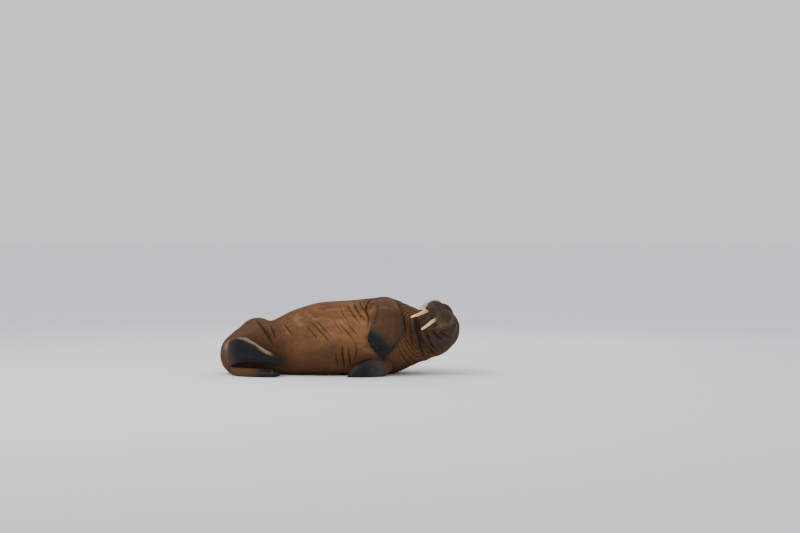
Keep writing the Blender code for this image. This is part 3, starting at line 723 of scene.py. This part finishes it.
def hide_colours(places, normals, crease):
    """The hide's colour at places of the skin, and how bare and how furry it is, from 0 to 1."""
    place, _ = along_spine(places)
    local = in_head(places)
    owner = owners(places)
    seen, _ = seen_at(places)
    points = places - np.array(shift)  # in the drawing
    broad = noise(points * 3.0, 41)
    blotch = noise(points * (8, 14, 14), 42)
    tone = np.tile(trunk_brown, (len(points), 1))
    bare = np.zeros(len(points))

    def mix(colour, share):
        tone[:] = tone + (np.array(colour) - tone) * np.clip(share, 0, 1)[:, None]

    mix(back_brown, ease(-0.05, 0.15, points[:, 1] + 0.05 * broad))
    mix(haunch_brown, patch(points, (-0.80, 0.0, 0.30), (0.34, 0.44, 0.40)) * 0.9)
    mix(chest_orange, patch(points, (0.12, -0.40, 0.42), (0.30, 0.22, 0.16)) * 0.7)
    mix(shoulder_brown, patch(points, (0.44, -0.14, 0.64), (0.22, 0.30, 0.18)) * 0.9)
    # painted shade: the hide darkens towards the floor, where less light reaches it
    mix(low_shade_brown, ease(0.40, 0.04, points[:, 2] + 0.05 * broad) * 0.9)
    mix(groin_brown, patch(points, (-0.62, -0.22, 0.26), (0.20, 0.24, 0.15)) * 0.8)
    mix(neck_brown, ease(0.64, 0.46, place + 0.04 * broad))
    mix(head_brown, ease(0.42, 0.28, place + 0.03 * broad))
    mix(throat_brown, patch(local, (-0.10, 0.0, -0.08), (0.12, 0.14, 0.08)) * 0.85)
    mix(throat_brown, patch(points, (0.86, -0.12, 0.30), (0.22, 0.20, 0.12)) * 0.7)
    mix(pad_brown, patch(local, (0.02, 0.0, 0.06), (0.09, 0.17, 0.10), 0.25))
    for _, middle, _ in eyes:
        mix(throat_brown, 0.75 * (1 - ease(0.020, 0.034, size_of(local - middle))))
    mix(armpit_tan, patch(points, (0.290, -0.36, 0.565), (0.05, 0.10, 0.08)) * 0.85)
    mix(armpit_tan, patch(points, (0.275, -0.42, 0.250), (0.10, 0.10, 0.045)) * 0.6)
    navel = patch(np.c_[seen, seen[:, 0] * 0], (333.6, 347, 0), (2.6, 3.6, 1), 0.8)
    mix(navel_grey, navel * (normals[:, 1] < 0) * 0.65)
    for line in streaks:
        far, share = nearest_on_line(seen + noise(points * 60, 45)[:, None], line)
        width = 1.4 * np.sin(np.pi * np.clip(share, 0.06, 0.94))
        mix(streak_and_sheen_tan, 0.32 * bell(far / (width + 0.05)) * (normals[:, 1] < 0))
    # Pale mottles on the upper trunk: partly the hide's own tone, partly painted sheen
    pale = ease(0.15, 0.75, noise(points * (13, 44, 44) + noise(points * 9, 47)[:, None], 46))
    mix(streak_and_sheen_tan, 0.26 * pale * patch(points, (-0.05, -0.25, 0.55), (0.52, 0.40, 0.30)))
    dark = ease(0.10, 0.80, noise(points * (12, 34, 34) + noise(points * 8, 49)[:, None], 48))
    mix(groin_brown, 0.42 * dark * patch(points, (0.0, -0.25, 0.45), (0.75, 0.45, 0.45)))
    below, there = past_lip(local)
    mix(lip_pink, there * bell(below / 0.006) * 0.4)
    for side in (1, -1):
        far = size_of(local[:, None] - tusk_line(side)[None, ::2]).min(axis=1)
        mix(lip_pink, 0.8 * (1 - ease(0.018, 0.030, far)))
    for k, name in enumerate(flippers):
        mine = owner == len(flesh) + k
        soft_mine = share_of(skin.data, mine.astype(float), 14)
        near_lead, _, along = on_sheet(places, name)
        fray = 0.012 * blotch
        if name == "fore_flipper_right":
            low_left = (seen - (371, 323)) @ np.array((-0.735, 0.678)) + 2.2 * blotch
            margin = ease(-4.5, 5.5, low_left) * ease(0.20, 0.42, along)
            edge = ease(0.036, 0.024, near_lead + fray) * ease(0.28, 0.36, along)
            margin = np.maximum(margin, edge)
            upper = soft_mine * ease(0.12, 0.38, along)
            mix(arm_brown, 0.9 * upper)
        elif name == "fore_flipper_left":
            margin = ease(0.1, 0.4, along)
        elif name == "hind_flipper_right":
            sole = ease(0.15, 0.45, -normals[:, 1]) * ease(0.016, 0.034, near_lead + fray)
            margin = np.maximum(sole * ease(0.02, 0.12, along), ease(0.75, 0.9, along))
            # painted highlight: a pale tan rim along the sole's edge, where the wet skin shines
            rim = soft_mine * ease(0.110, 0.060, near_lead) * ease(0.30, -0.10, normals[:, 1])
            mix(rim_highlight_tan, rim * (1 - margin) * 0.9)
        else:
            margin = np.maximum(ease(0.25, 0.6, -normals[:, 2]), ease(0.45, 0.75, along + fray))
        bare = np.where(mine, margin, bare)
        from_there, to_there = deepest[name]
        deep = ease(from_there, to_there, along)
        grey = np.array(margin_grey) + (np.array(sole_grey) - margin_grey) * deep[:, None]
        shade = (mine * margin)[:, None]
        tone[:] = tone * (1 - shade) + grey * shade
    tone *= (1 + 0.14 * broad + 0.15 * blotch + 0.07 * noise(points * (30, 60, 60), 43))[:, None]
    # painted shade in the folds
    tone *= (1 - fold_shade * crease)[:, None]
    furry = (1 - bare) * (1 - 0.35 * crease) * ease(0.0, 0.5, place)
    pads = patch(local, (0.02, 0.0, 0.06), (0.10, 0.17, 0.11), 0.2)
    furry *= 1 - 0.85 * pads
    return np.clip(tone, 0.004, 1), bare, np.clip(furry, 0, 1)


points = spots(skin.data)
normals = vertex_normals(skin.data)
flipper_share = share_of(skin.data, (owners(points) >= len(flesh)).astype(float), 2)
_, crease = carve(points, flipper_share)
crease = np.clip(crease, 0, 1)
tone, bare, furry = hide_colours(points, normals, crease)
bare, furry = share_of(skin.data, bare, 2), share_of(skin.data, furry, 2)


def mark(mesh, name, kind, field, values):
    """Keeps a value for each vertex, under a name that materials read."""
    values = np.asarray(values, np.float32).ravel()
    mesh.attributes.new(name, kind, "POINT").data.foreach_set(field, values)


mark(skin.data, "hide_tone", "FLOAT_COLOR", "color", np.c_[tone, np.ones(len(tone))])
mark(skin.data, "bare", "FLOAT", "value", bare)
mark(skin.data, "furry", "FLOAT", "value", furry)


def group_of(name, inputs, outputs):
    """An empty node group with these number sockets."""
    group = bpy.data.node_groups.new(name, "ShaderNodeTree")
    for socket, value in inputs:
        made = group.interface.new_socket(socket, in_out="INPUT", socket_type="NodeSocketFloat")
        made.default_value = value
    for socket, kind in outputs:
        group.interface.new_socket(socket, in_out="OUTPUT", socket_type=kind)
    return group, group.nodes.new("NodeGroupInput"), group.nodes.new("NodeGroupOutput")


def add(tree, kind, values=(), **settings):
    """A node with its settings and its sockets' values, or links where a value is a socket."""
    node = tree.nodes.new(kind)
    for setting, value in settings.items():
        setattr(node, setting, value)
    for socket, value in values:
        if isinstance(value, bpy.types.NodeSocket):
            tree.links.new(value, node.inputs[socket])
        else:
            node.inputs[socket].default_value = value
    return node


def reckoned(tree, operation, *values):
    """The result of a sum on numbers or sockets."""
    return add(tree, "ShaderNodeMath", enumerate(values), operation=operation).outputs[0]


def tinted(tree, colour, factor):
    """A colour, or a place, times a factor."""
    values = ((0, colour), (1, factor))
    return add(tree, "ShaderNodeVectorMath", values, operation="MULTIPLY").outputs[0]


def mapped(tree, value, reach, onto, **settings):
    """A value carried from one reach onto another."""
    values = [("Value", value), ("From Min", reach[0]), ("From Max", reach[1])]
    values += [("To Min", onto[0]), ("To Max", onto[1])]
    return add(tree, "ShaderNodeMapRange", values, **settings).outputs[0]


def speckle(tree, where, scale, detail):
    """A noise node at these places."""
    values = (("Vector", where), ("Scale", scale), ("Detail", detail))
    return add(tree, "ShaderNodeTexNoise", values)


def stretched(tree, where, scale):
    """Places scaled along each axis."""
    return add(tree, "ShaderNodeMapping", (("Vector", where), ("Scale", scale))).outputs[0]


def banded(tree, factor, *stops):
    """A colour that changes with a factor, from its stops and the colours there."""
    ramp = add(tree, "ShaderNodeValToRGB", (("Fac", factor),))
    elements = ramp.color_ramp.elements
    for element, (stop, colour) in zip(elements, (stops[0], stops[-1])):
        element.position, element.color = stop, (*colour, 1)
    for stop, colour in stops[1:-1]:
        elements.new(stop).color = (*colour, 1)
    return ramp.outputs["Color"]


def finish_of(name, roughness, gloss=0.5):
    """A new material, its node tree and its shader."""
    material = bpy.data.materials.new(name)
    material.use_nodes = True
    shader = material.node_tree.nodes["Principled BSDF"]
    shader.inputs["Roughness"].default_value = roughness
    shader.inputs["Specular IOR Level"].default_value = gloss
    return material, material.node_tree, shader


def bumped(tree, shader, height, distance, strength):
    """Bumps in the shader's surface."""
    values = (("Height", height), ("Distance", distance), ("Strength", strength))
    tree.links.new(add(tree, "ShaderNodeBump", values).outputs[0], shader.inputs["Normal"])


# Wrinkled leather: an uneven net of fine cracks over soft lumps. Where hair covers the hide the
# cracks are faint, and short hairs that lie tailwards give it a fine grain.
wrinkles, wrinkles_in, wrinkles_out = group_of(
    "wrinkled_leather",
    (("Scale", 60.0), ("Hair", 1.0)),
    (("Height", "NodeSocketFloat"), ("Cracks", "NodeSocketFloat")),
)
where = add(wrinkles, "ShaderNodeTexCoord").outputs["Object"]
bend = tinted(wrinkles, speckle(wrinkles, where, 26.0, 3.0).outputs["Color"], (0.034, 0.034, 0.034))
squeezed = stretched(wrinkles, where, (1.0, 0.42, 0.42))
bent = add(wrinkles, "ShaderNodeVectorMath", ((0, squeezed), (1, bend))).outputs[0]
net = add(
    wrinkles,
    "ShaderNodeTexVoronoi",
    (("Vector", bent), ("Scale", wrinkles_in.outputs["Scale"])),
    feature="DISTANCE_TO_EDGE",
)
smooth_step = {"interpolation_type": "SMOOTHSTEP"}
crack = mapped(wrinkles, net.outputs["Distance"], (0.0, 0.13), (1.0, 0.0), **smooth_step)
broken = speckle(wrinkles, where, 17.0, 2.0).outputs["Fac"]
broken = mapped(wrinkles, broken, (0.38, 0.62), (0.0, 1.0), **smooth_step)
shown = mapped(wrinkles, wrinkles_in.outputs["Hair"], (0.0, 1.0), (1.0, 0.12))
shown = reckoned(wrinkles, "MULTIPLY", shown, broken)
crack = reckoned(wrinkles, "MULTIPLY", crack, shown)
fine = speckle(wrinkles, where, 170.0, 3.0).outputs["Fac"]
hairs = speckle(wrinkles, stretched(wrinkles, where, (70.0, 700.0, 700.0)), 1.0, 2.0).outputs["Fac"]
hairs = reckoned(wrinkles, "MULTIPLY", hairs, wrinkles_in.outputs["Hair"])
height = reckoned(wrinkles, "MULTIPLY", crack, -0.60)
height = reckoned(wrinkles, "MULTIPLY_ADD", fine, 0.30, height)
height = reckoned(wrinkles, "MULTIPLY_ADD", hairs, 0.42, height)
wrinkles.links.new(height, wrinkles_out.inputs["Height"])
wrinkles.links.new(crack, wrinkles_out.inputs["Cracks"])

hide, tree, shader = finish_of("hide", 0.5, 0.14)
painted = add(tree, "ShaderNodeAttribute", attribute_name="hide_tone").outputs["Color"]
bareness = add(tree, "ShaderNodeAttribute", attribute_name="bare").outputs["Fac"]
furriness = add(tree, "ShaderNodeAttribute", attribute_name="furry").outputs["Fac"]
leather = tree.nodes.new("ShaderNodeGroup")
leather.node_tree = wrinkles
leather.inputs["Scale"].default_value = 84.0
covered = reckoned(tree, "MAXIMUM", reckoned(tree, "MULTIPLY", bareness, 0.72), furriness)
tree.links.new(covered, leather.inputs["Hair"])
where = add(tree, "ShaderNodeTexCoord").outputs["Object"]
mottle = speckle(tree, stretched(tree, where, (16.0, 24.0, 24.0)), 1.0, 6.0).outputs["Fac"]
mottle = mapped(tree, mottle, (0.3, 0.7), (0.84, 1.16))
# painted shade: the cracks darken the hide's colour, over a random mottle
dimmed = reckoned(tree, "MULTIPLY_ADD", leather.outputs["Cracks"], -0.30, mottle)
tree.links.new(tinted(tree, painted, dimmed), shader.inputs["Base Color"])
roughness = mapped(tree, bareness, (0.0, 1.0), (0.68, 0.46))
tree.links.new(roughness, shader.inputs["Roughness"])
bumped(tree, shader, leather.outputs["Height"], 0.0022, 0.7)
skin.data.materials.clear()
skin.data.materials.append(hide)

# The eyes
# Two wet dark balls deep in the lids, each with a brown iris and a black pupil under a glossy surface.
# Each looks the way that the skin round it faces.
wet, tree, shader = finish_of("wet", 0.04, 0.3)
front = add(tree, "ShaderNodeAttribute", attribute_name="facing").outputs["Fac"]
iris = banded(
    tree,
    front,
    (0.50, (0.085, 0.030, 0.022)),
    (0.66, (0.018, 0.009, 0.007)),
    (0.86, (0.050, 0.021, 0.010)),
    (0.93, (0.026, 0.011, 0.006)),
    (0.955, (0.004, 0.003, 0.003)),
)
tree.links.new(iris, shader.inputs["Base Color"])
for name, middle, out in eyes:
    bm = bmesh.new()
    bmesh.ops.create_uvsphere(bm, u_segments=40, v_segments=24, radius=eye_radius)
    gaze = Vector(head_turn @ out)
    spot = Vector(head_turn @ middle + mouth_spot)
    turn = gaze.to_track_quat("Z", "Y").to_matrix().to_4x4()
    bmesh.ops.transform(bm, matrix=Matrix.Translation(spot) @ turn, verts=bm.verts)
    ball = object_of("wet_" + name, bm)
    ball.data.shade_smooth()
    facing = ((spots(ball.data) - np.array(spot)) / eye_radius) @ np.array(gaze)
    mark(ball.data, "facing", "FLOAT", "value", facing)
    ball.data.materials.append(wet)
    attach(ball, "root")
    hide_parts(name)

# The tusks
# Two ivory teeth, oval across, that splay outwards and curl back to a blunt worn tip. Each has
# shallow furrows along it, faint stains and a darker root.
ivory, tree, shader = finish_of("ivory", 0.38)
along = add(tree, "ShaderNodeAttribute", attribute_name="share").outputs["Fac"]
bands = banded(
    tree,
    along,
    (0.12, (0.34, 0.17, 0.07)),
    (0.26, (0.78, 0.45, 0.155)),
    (0.5, (0.96, 0.64, 0.24)),
    (1.0, (0.98, 0.74, 0.33)),
)
where = add(tree, "ShaderNodeAttribute", attribute_name="grain").outputs["Vector"]
stain = speckle(tree, where, 1.0, 5.0).outputs["Fac"]
darker = mapped(tree, stain, (0.35, 0.75), (1.06, 0.72))
tree.links.new(tinted(tree, bands, darker), shader.inputs["Base Color"])
bumped(tree, shader, stain, 0.0006, 0.5)
shader.inputs["Subsurface Weight"].default_value = 0.05
tusk_rings, tusk_sides = 46, 28
tusk_stations = (0, 0.2, 0.4, 0.6, 0.8, 1)
tusk_radii = (0.0145, 0.0143, 0.0137, 0.0126, 0.0108, 0.0075)
for side, name in ((1, "tusk_left"), (-1, "tusk_right")):
    bm = bmesh.new()
    bmesh.ops.create_cone(bm, segments=tusk_sides, radius1=1, radius2=1, depth=2, cap_ends=False)
    tube = [e for e in bm.edges if abs(e.verts[0].co.z - e.verts[1].co.z) > 1]
    bmesh.ops.subdivide_edges(bm, edges=tube, cuts=tusk_rings - 1)
    line = tusk_line(side)
    for vert in bm.verts:
        t = min(1.0, max(0.0, (1 - vert.co.z) / 2))
        turn = math.atan2(vert.co.y, vert.co.x)
        middle = np.array([np.interp(t, tusk_shares, line[:, k]) for k in range(3)])
        radius = np.interp(t, tusk_stations, tusk_radii)
        if t > 0.93:
            radius *= math.sqrt(max(0.0, 1 - ((t - 0.93) / 0.07) ** 2)) * 0.97 + 0.03
        radius *= 1 - 0.022 * math.cos(turn * 5 + 1.3) * (1 - t) - 0.012 * math.cos(turn * 11)
        spot = middle + radius * np.array((1.10 * math.cos(turn), math.sin(turn), 0.0))
        vert.co = head_place @ Vector(spot)
    bmesh.ops.holes_fill(bm, edges=[e for e in bm.edges if e.is_boundary])
    bmesh.ops.recalc_face_normals(bm, faces=bm.faces[:])
    tusk = object_of("ivory_" + name, bm)
    tusk.data.shade_smooth()
    local = in_head(spots(tusk.data))
    share = (0.012 - local[:, 2]) / 0.200
    middle = np.stack([np.interp(share, tusk_shares, line[:, k]) for k in range(2)], 1)
    grain = np.c_[share * 5, (local[:, :2] - middle) / 0.0045]
    mark(tusk.data, "grain", "FLOAT_VECTOR", "vector", grain)
    mark(tusk.data, "share", "FLOAT", "value", share)
    tusk.data.materials.append(ivory)
    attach(tusk, "root")
    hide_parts(name)

# The claws
# A small blunt horn nail on each digit, grown into the haired side of the flipper. The solid is
# rounded off, and sunk until its middle lies just under the skin.
nail_sink = 0.0012
horn, tree, shader = finish_of("horn", 0.5)
where = add(tree, "ShaderNodeTexCoord").outputs["Object"]
layers = speckle(tree, where, 420.0, 3.0).outputs["Fac"]
bands = banded(tree, layers, (0.35, (0.012, 0.010, 0.009)), (0.70, (0.034, 0.027, 0.021)))
tree.links.new(bands, shader.inputs["Base Color"])
bumped(tree, shader, layers, 0.0004, 0.5)
every_axis = {"use_axis_x": True, "use_axis_y": True, "use_axis_z": True}
surface = surface_of(skin)
for limb in ("fore", "hind"):
    for side in ("right", "left"):
        for digit in range(1, 6):
            name = f"{limb}_claw_{side}_{digit}"
            bm = merged_copy(name)
            bmesh.ops.subdivide_edges(bm, edges=bm.edges[:], cuts=2, use_grid_fill=True, smooth=0.8)
            for _ in range(3):
                bmesh.ops.smooth_vert(bm, verts=bm.verts[:], factor=0.4, **every_axis)
            middle = sum((v.co for v in bm.verts), Vector()) / len(bm.verts)
            hit, out, _, _ = surface.find_nearest(middle)
            sink = (middle - hit).dot(out) + nail_sink
            bmesh.ops.translate(bm, verts=bm.verts[:], vec=-out * max(0.0, sink))
            nail = object_of("horn_" + name, bm)
            nail.data.shade_smooth()
            nail.data.materials.append(horn)
            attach(nail, "root")
            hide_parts(name)

# The whiskers
# Stiff straw-coloured bristles in rows on both pads of the muzzle. They are longest at the outer
# lower side, where they hang and curl, and each tapers to a point.
ring_sides, ring_count = 5, 8
ring_girths = np.array((1.15, 1.0, 0.95, 0.85, 0.72, 0.56, 0.36, 0.10))
sunk_root, clear_of_tusk = 0.004, 0.018
surface = surface_of(skin)
whisker_points, whisker_faces = [], []
draw = np.random.default_rng(9)
tusk_middles = np.concatenate([tusk_line(1)[3:], tusk_line(-1)[3:]])
for side, row, column, root in follicles:
    hit, normal, _, _ = surface.find_nearest(Vector(head_turn @ root + mouth_spot))
    root = in_head(np.array([hit]))[0]
    out = head_turn.T @ np.array(normal)
    outward, lower = column / pad_columns, row / pad_rows
    length = 0.006 + 0.046 * outward**1.6 + 0.046 * lower * (0.25 + 0.75 * outward)
    length *= draw.uniform(0.75, 1.20)
    droop = np.array((draw.uniform(-0.15, 0.10), side * draw.uniform(-0.05, 0.20), -1.0))
    aim = out * (0.75 - 0.25 * lower) + droop * (0.25 + 0.75 * lower)
    aim = unit(aim)
    curl = droop * (0.45 + 0.5 * lower) - out * (0.15 + 0.45 * lower)
    thick = 0.00062 * (0.50 + 0.30 * lower + 0.25 * outward) * draw.uniform(0.8, 1.15)
    line = [root - out * sunk_root]
    step = length / (ring_count - 2)
    for k in range(ring_count - 1):
        line.append(line[-1] + aim * (sunk_root if k == 0 else step))
        aim = aim + curl * (0.16 * k / ring_count) + draw.normal(0, 0.02, 3)
        aim = unit(aim)
    line = np.array(line)
    if size_of(line[2:, None] - tusk_middles[None]).min() < clear_of_tusk:
        continue
    ahead = np.gradient(line, axis=0)
    ahead = unit(ahead)
    across = np.cross(ahead, (0.3, 0.9, 0.2))
    across = unit(across)
    over = np.cross(ahead, across)
    start = len(whisker_points) * ring_count * ring_sides
    girth = thick * ring_girths
    turn = 2 * np.pi * np.arange(ring_sides)[:, None] / ring_sides
    ring = across[:, None] * np.cos(turn) + over[:, None] * np.sin(turn)
    ring = line[:, None] + ring * girth[:, None, None]
    whisker_points.append(ring.reshape(-1, 3) @ head_turn.T + mouth_spot)
    for k in range(ring_count - 1):
        for j in range(ring_sides):
            a, b = start + k * ring_sides + j, start + k * ring_sides + (j + 1) % ring_sides
            whisker_faces.append((a, b, b + ring_sides, a + ring_sides))
    last = start + (ring_count - 1) * ring_sides
    whisker_faces.append(tuple(start + j for j in reversed(range(ring_sides))))
    whisker_faces.append(tuple(last + j for j in range(ring_sides)))
mesh = bpy.data.meshes.new("whiskers")
mesh.from_pydata(np.concatenate(whisker_points).tolist(), [], whisker_faces)
mesh.validate()
whiskers = bpy.data.objects.new("whiskers", mesh)
show(whiskers)
whiskers.data.shade_smooth()
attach(whiskers, "root")
straw, tree, shader = finish_of("straw", 0.42)
where = add(tree, "ShaderNodeTexCoord").outputs["Object"]
patchy = speckle(tree, where, 90.0, 2.0).outputs["Fac"]
bands = banded(tree, patchy, (0.35, (0.16, 0.10, 0.05)), (0.65, (0.50, 0.37, 0.21)))
tree.links.new(bands, shader.inputs["Base Color"])
whiskers.data.materials.append(straw)

# The coat
# Short coarse hair that lies flat towards the tail. It is shorter on the head and the flippers, and
# soles and margins have none. It is made as small tufts, each a low closed wedge rooted in the skin.
coat_pieces, tufts_each = 7, 46000
body_tuft, head_tuft, limb_share = 0.0125, 0.0055, 0.55  # how long tufts are
root_sink = 0.0004
draw = np.random.default_rng(21)
mesh = skin.data
points, normals = spots(mesh), vertex_normals(mesh)
corners = np.empty(len(mesh.loops), np.int32)
mesh.loops.foreach_get("vertex_index", corners)
corners = corners.reshape(-1, 3)
first, second, third = (points[corners[:, k]] for k in range(3))
middles = (first + second + third) / 3
area = size_of(np.cross(second - first, third - first)) / 2
place, _ = along_spine(middles)
# Tufts are shared out by the furry area, more closely on the head and none where the skin rests
weight = area * np.clip(furry[corners].mean(axis=1), 0, 1)
weight *= (1 + 2.5 * (1 - ease(0.25, 0.5, place))) * (middles[:, 2] > 0.006)
order = np.argsort(place)
steps = np.cumsum(weight[order])
total = coat_pieces * tufts_each
wanted = (np.arange(total) + draw.random(total)) / total * steps[-1]
chosen = order[np.minimum(np.searchsorted(steps, wanted), len(order) - 1)]
s, t = np.sqrt(draw.random(total)), draw.random(total)
shares = np.stack((1 - s, s * (1 - t), s * t), 1)


def at_roots(values):
    """Values on the skin's vertices, read at the tufts' roots."""
    return np.einsum("ij,ij...->i...", shares, values[corners[chosen]])


root, up = at_roots(points), at_roots(normals)
up = unit(up)
# painted shade in the folds, weaker on the tufts than on the hide
tuft_crease_shade = (1 - tuft_fold_shade * crease) / (1 - fold_shade * crease)
shade = at_roots(tone * tuft_crease_shade[:, None])
place, lie = along_spine(root)
owner = owners(root)
on_limb = owner >= len(flesh)
for k, name in enumerate(flippers):
    lead, trail = (np.array(line) for line in sheets[name])
    to_tip = (lead[-1] + trail[-1] - lead[0] - trail[0]) / 2
    lie[owner == len(flesh) + k] = unit(to_tip)
swirl = np.stack([noise(root * 9.0, 60 + k) for k in range(3)], 1)
lie = lie + 0.40 * swirl + 0.20 * draw.normal(0, 1, (total, 3))
lie -= up * np.einsum("ij,ij->i", lie, up)[:, None]
lie = unit(lie)
across = np.cross(up, lie)
head_share = 1 - ease(0.20, 0.50, place)
long = body_tuft - (body_tuft - head_tuft) * head_share
long *= np.where(on_limb, limb_share, 1.0)
long *= draw.uniform(0.65, 1.35, total)
flatter = 1 - 0.6 * np.where(on_limb, 1.0, head_share)
wide = long * draw.uniform(0.10, 0.15, total) + 0.0003
high = draw.uniform(0.02, 0.11, total) * long * flatter
surface = surface_of(skin)


def laid_on_skin(places, raised):
    """Points moved onto the skin and raised from it."""
    found = [surface.find_nearest(p)[:2] for p in places.tolist()]
    hits, outs = (np.array([f[k] for f in found]) for k in range(2))
    return hits + outs * raised[:, None]


tuft = np.stack(
    (
        root - up * root_sink - across * wide[:, None] / 2,
        root - up * root_sink + across * wide[:, None] / 2,
        laid_on_skin(root + lie * (0.40 * long)[:, None], 0.0004 + 0.35 * high),
        laid_on_skin(root + lie * long[:, None], 0.0001 + high),
    ),
    1,
)
# An unwrap of the skin's own shape, for baking: along the spine and round it. The flippers have a
# strip below it, where each has a tile with its two sides one above the other.
core = np.stack([np.interp(place, spine_stations, spine[:, k]) for k in range(3)], 1)
_, heading = along_spine(root)
sky_side = np.array((0, 0, 1)) - heading * heading[:, 2:]
sky_side = unit(sky_side)
turn = np.arctan2(
    np.einsum("ij,ij->i", root - core, np.cross(heading, sky_side)),
    np.einsum("ij,ij->i", root - core, sky_side),
)
unwrap = np.stack((place, 0.13 + 0.87 * (turn / (2 * np.pi) + 0.5)), 1)
for k, name in enumerate(flippers):
    mine = owner == len(flesh) + k
    near_lead, near_trail, along = on_sheet(root[mine], name)
    over = near_lead / (near_lead + near_trail)
    unwrap[mine] = np.stack(((k + along) / 4, 0.06 * (over + (up[mine, 1] > 0))), 1)
coat_material, tree, shader = finish_of("coat", 0.50, 0.32)
painted = add(tree, "ShaderNodeAttribute", attribute_name="hide_tone").outputs["Color"]
where = add(tree, "ShaderNodeTexCoord").outputs["Object"]
flecks = mapped(tree, speckle(tree, where, 60.0, 3.0).outputs["Fac"], (0.3, 0.7), (0.85, 1.15))
tree.links.new(tinted(tree, painted, flecks), shader.inputs["Base Color"])
half_patch = 0.0015
patch_corners = np.array(((-1, -1), (1, -1), (0, 0), (0, 1))) * half_patch
tuft_faces = ((1, 0, 2), (0, 3, 2), (3, 1, 2), (0, 1, 3))
faces = np.concatenate([np.arange(tufts_each)[:, None] * 4 + face for face in tuft_faces], 1)
loops = faces.ravel().astype(np.int32)
for piece in range(coat_pieces):
    mine = slice(piece * tufts_each, (piece + 1) * tufts_each)
    mesh = bpy.data.meshes.new(f"coat_{piece + 1}")
    mesh.vertices.add(4 * tufts_each)
    mesh.vertices.foreach_set("co", tuft[mine].astype(np.float32).ravel())
    mesh.loops.add(len(loops))
    mesh.loops.foreach_set("vertex_index", loops)
    mesh.polygons.add(len(loops) // 3)
    mesh.polygons.foreach_set("loop_start", np.arange(0, len(loops), 3, dtype=np.int32))
    mesh.update(calc_edges=True)
    flat = unwrap[mine]
    start, end = place[mine].min(), place[mine].max()
    flat[:, 0] = np.where(on_limb[mine], flat[:, 0], (flat[:, 0] - start) / (end - start))
    flat = (0.004 + 0.992 * flat)[:, None] + patch_corners
    flat = flat.reshape(-1, 2)[loops].astype(np.float32).ravel()
    mesh.uv_layers.new(name="OFBake").data.foreach_set("uv", flat)
    light = draw.uniform(0.88, 1.22, tufts_each)
    ends_lit = np.stack((light, light, light * 1.05, light * 1.15), 1)
    colour = shade[mine][:, None] * ends_lit[:, :, None]
    colour = np.concatenate((colour, np.ones(colour.shape[:2] + (1,))), 2)
    mark(mesh, "hide_tone", "FLOAT_COLOR", "color", colour)
    mesh.materials.append(coat_material)
    coat = bpy.data.objects.new(mesh.name, mesh)
    show(coat)
    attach(coat, "root")

# The floor and the light
# A wide pale floor under an even bright sky, with one large soft lamp above and to the left and a
# weak one behind. None of this is part of the animal.
bm = bmesh.new()
bmesh.ops.create_circle(bm, cap_ends=True, segments=96, radius=900)
floor = object_of("floor", bm)
paper, _, shader = finish_of("paper", 0.9, 0.1)
shader.inputs["Base Color"].default_value = (0.94, 0.95, 0.96, 1)
floor.data.materials.append(paper)
for name, spot, aim, size, power, colour in (
    ("key", (-3.0, -3.0, 6.5), (0.0, 0.0, 0.3), 3.5, 250, (1.0, 0.96, 0.90)),
    ("back", (1.5, 5.0, 4.0), (0.0, 0.0, 0.4), 4.0, 60, (0.95, 0.97, 1.0)),
):
    lamp_data = bpy.data.lights.new(name, "AREA")
    lamp_data.size = size
    lamp_data.energy = power
    lamp_data.color = colour
    lamp = bpy.data.objects.new(name, lamp_data)
    lamp.location = spot
    lamp.rotation_euler = (Vector(aim) - Vector(spot)).to_track_quat("-Z", "Y").to_euler()
    show(lamp)
sky = bpy.data.worlds.new("sky")
sky.use_nodes = True
glow = sky.node_tree.nodes["Background"]
glow.inputs["Color"].default_value = (0.96, 0.97, 1.0, 1)
glow.inputs["Strength"].default_value = 0.92
bpy.context.scene.world = sky
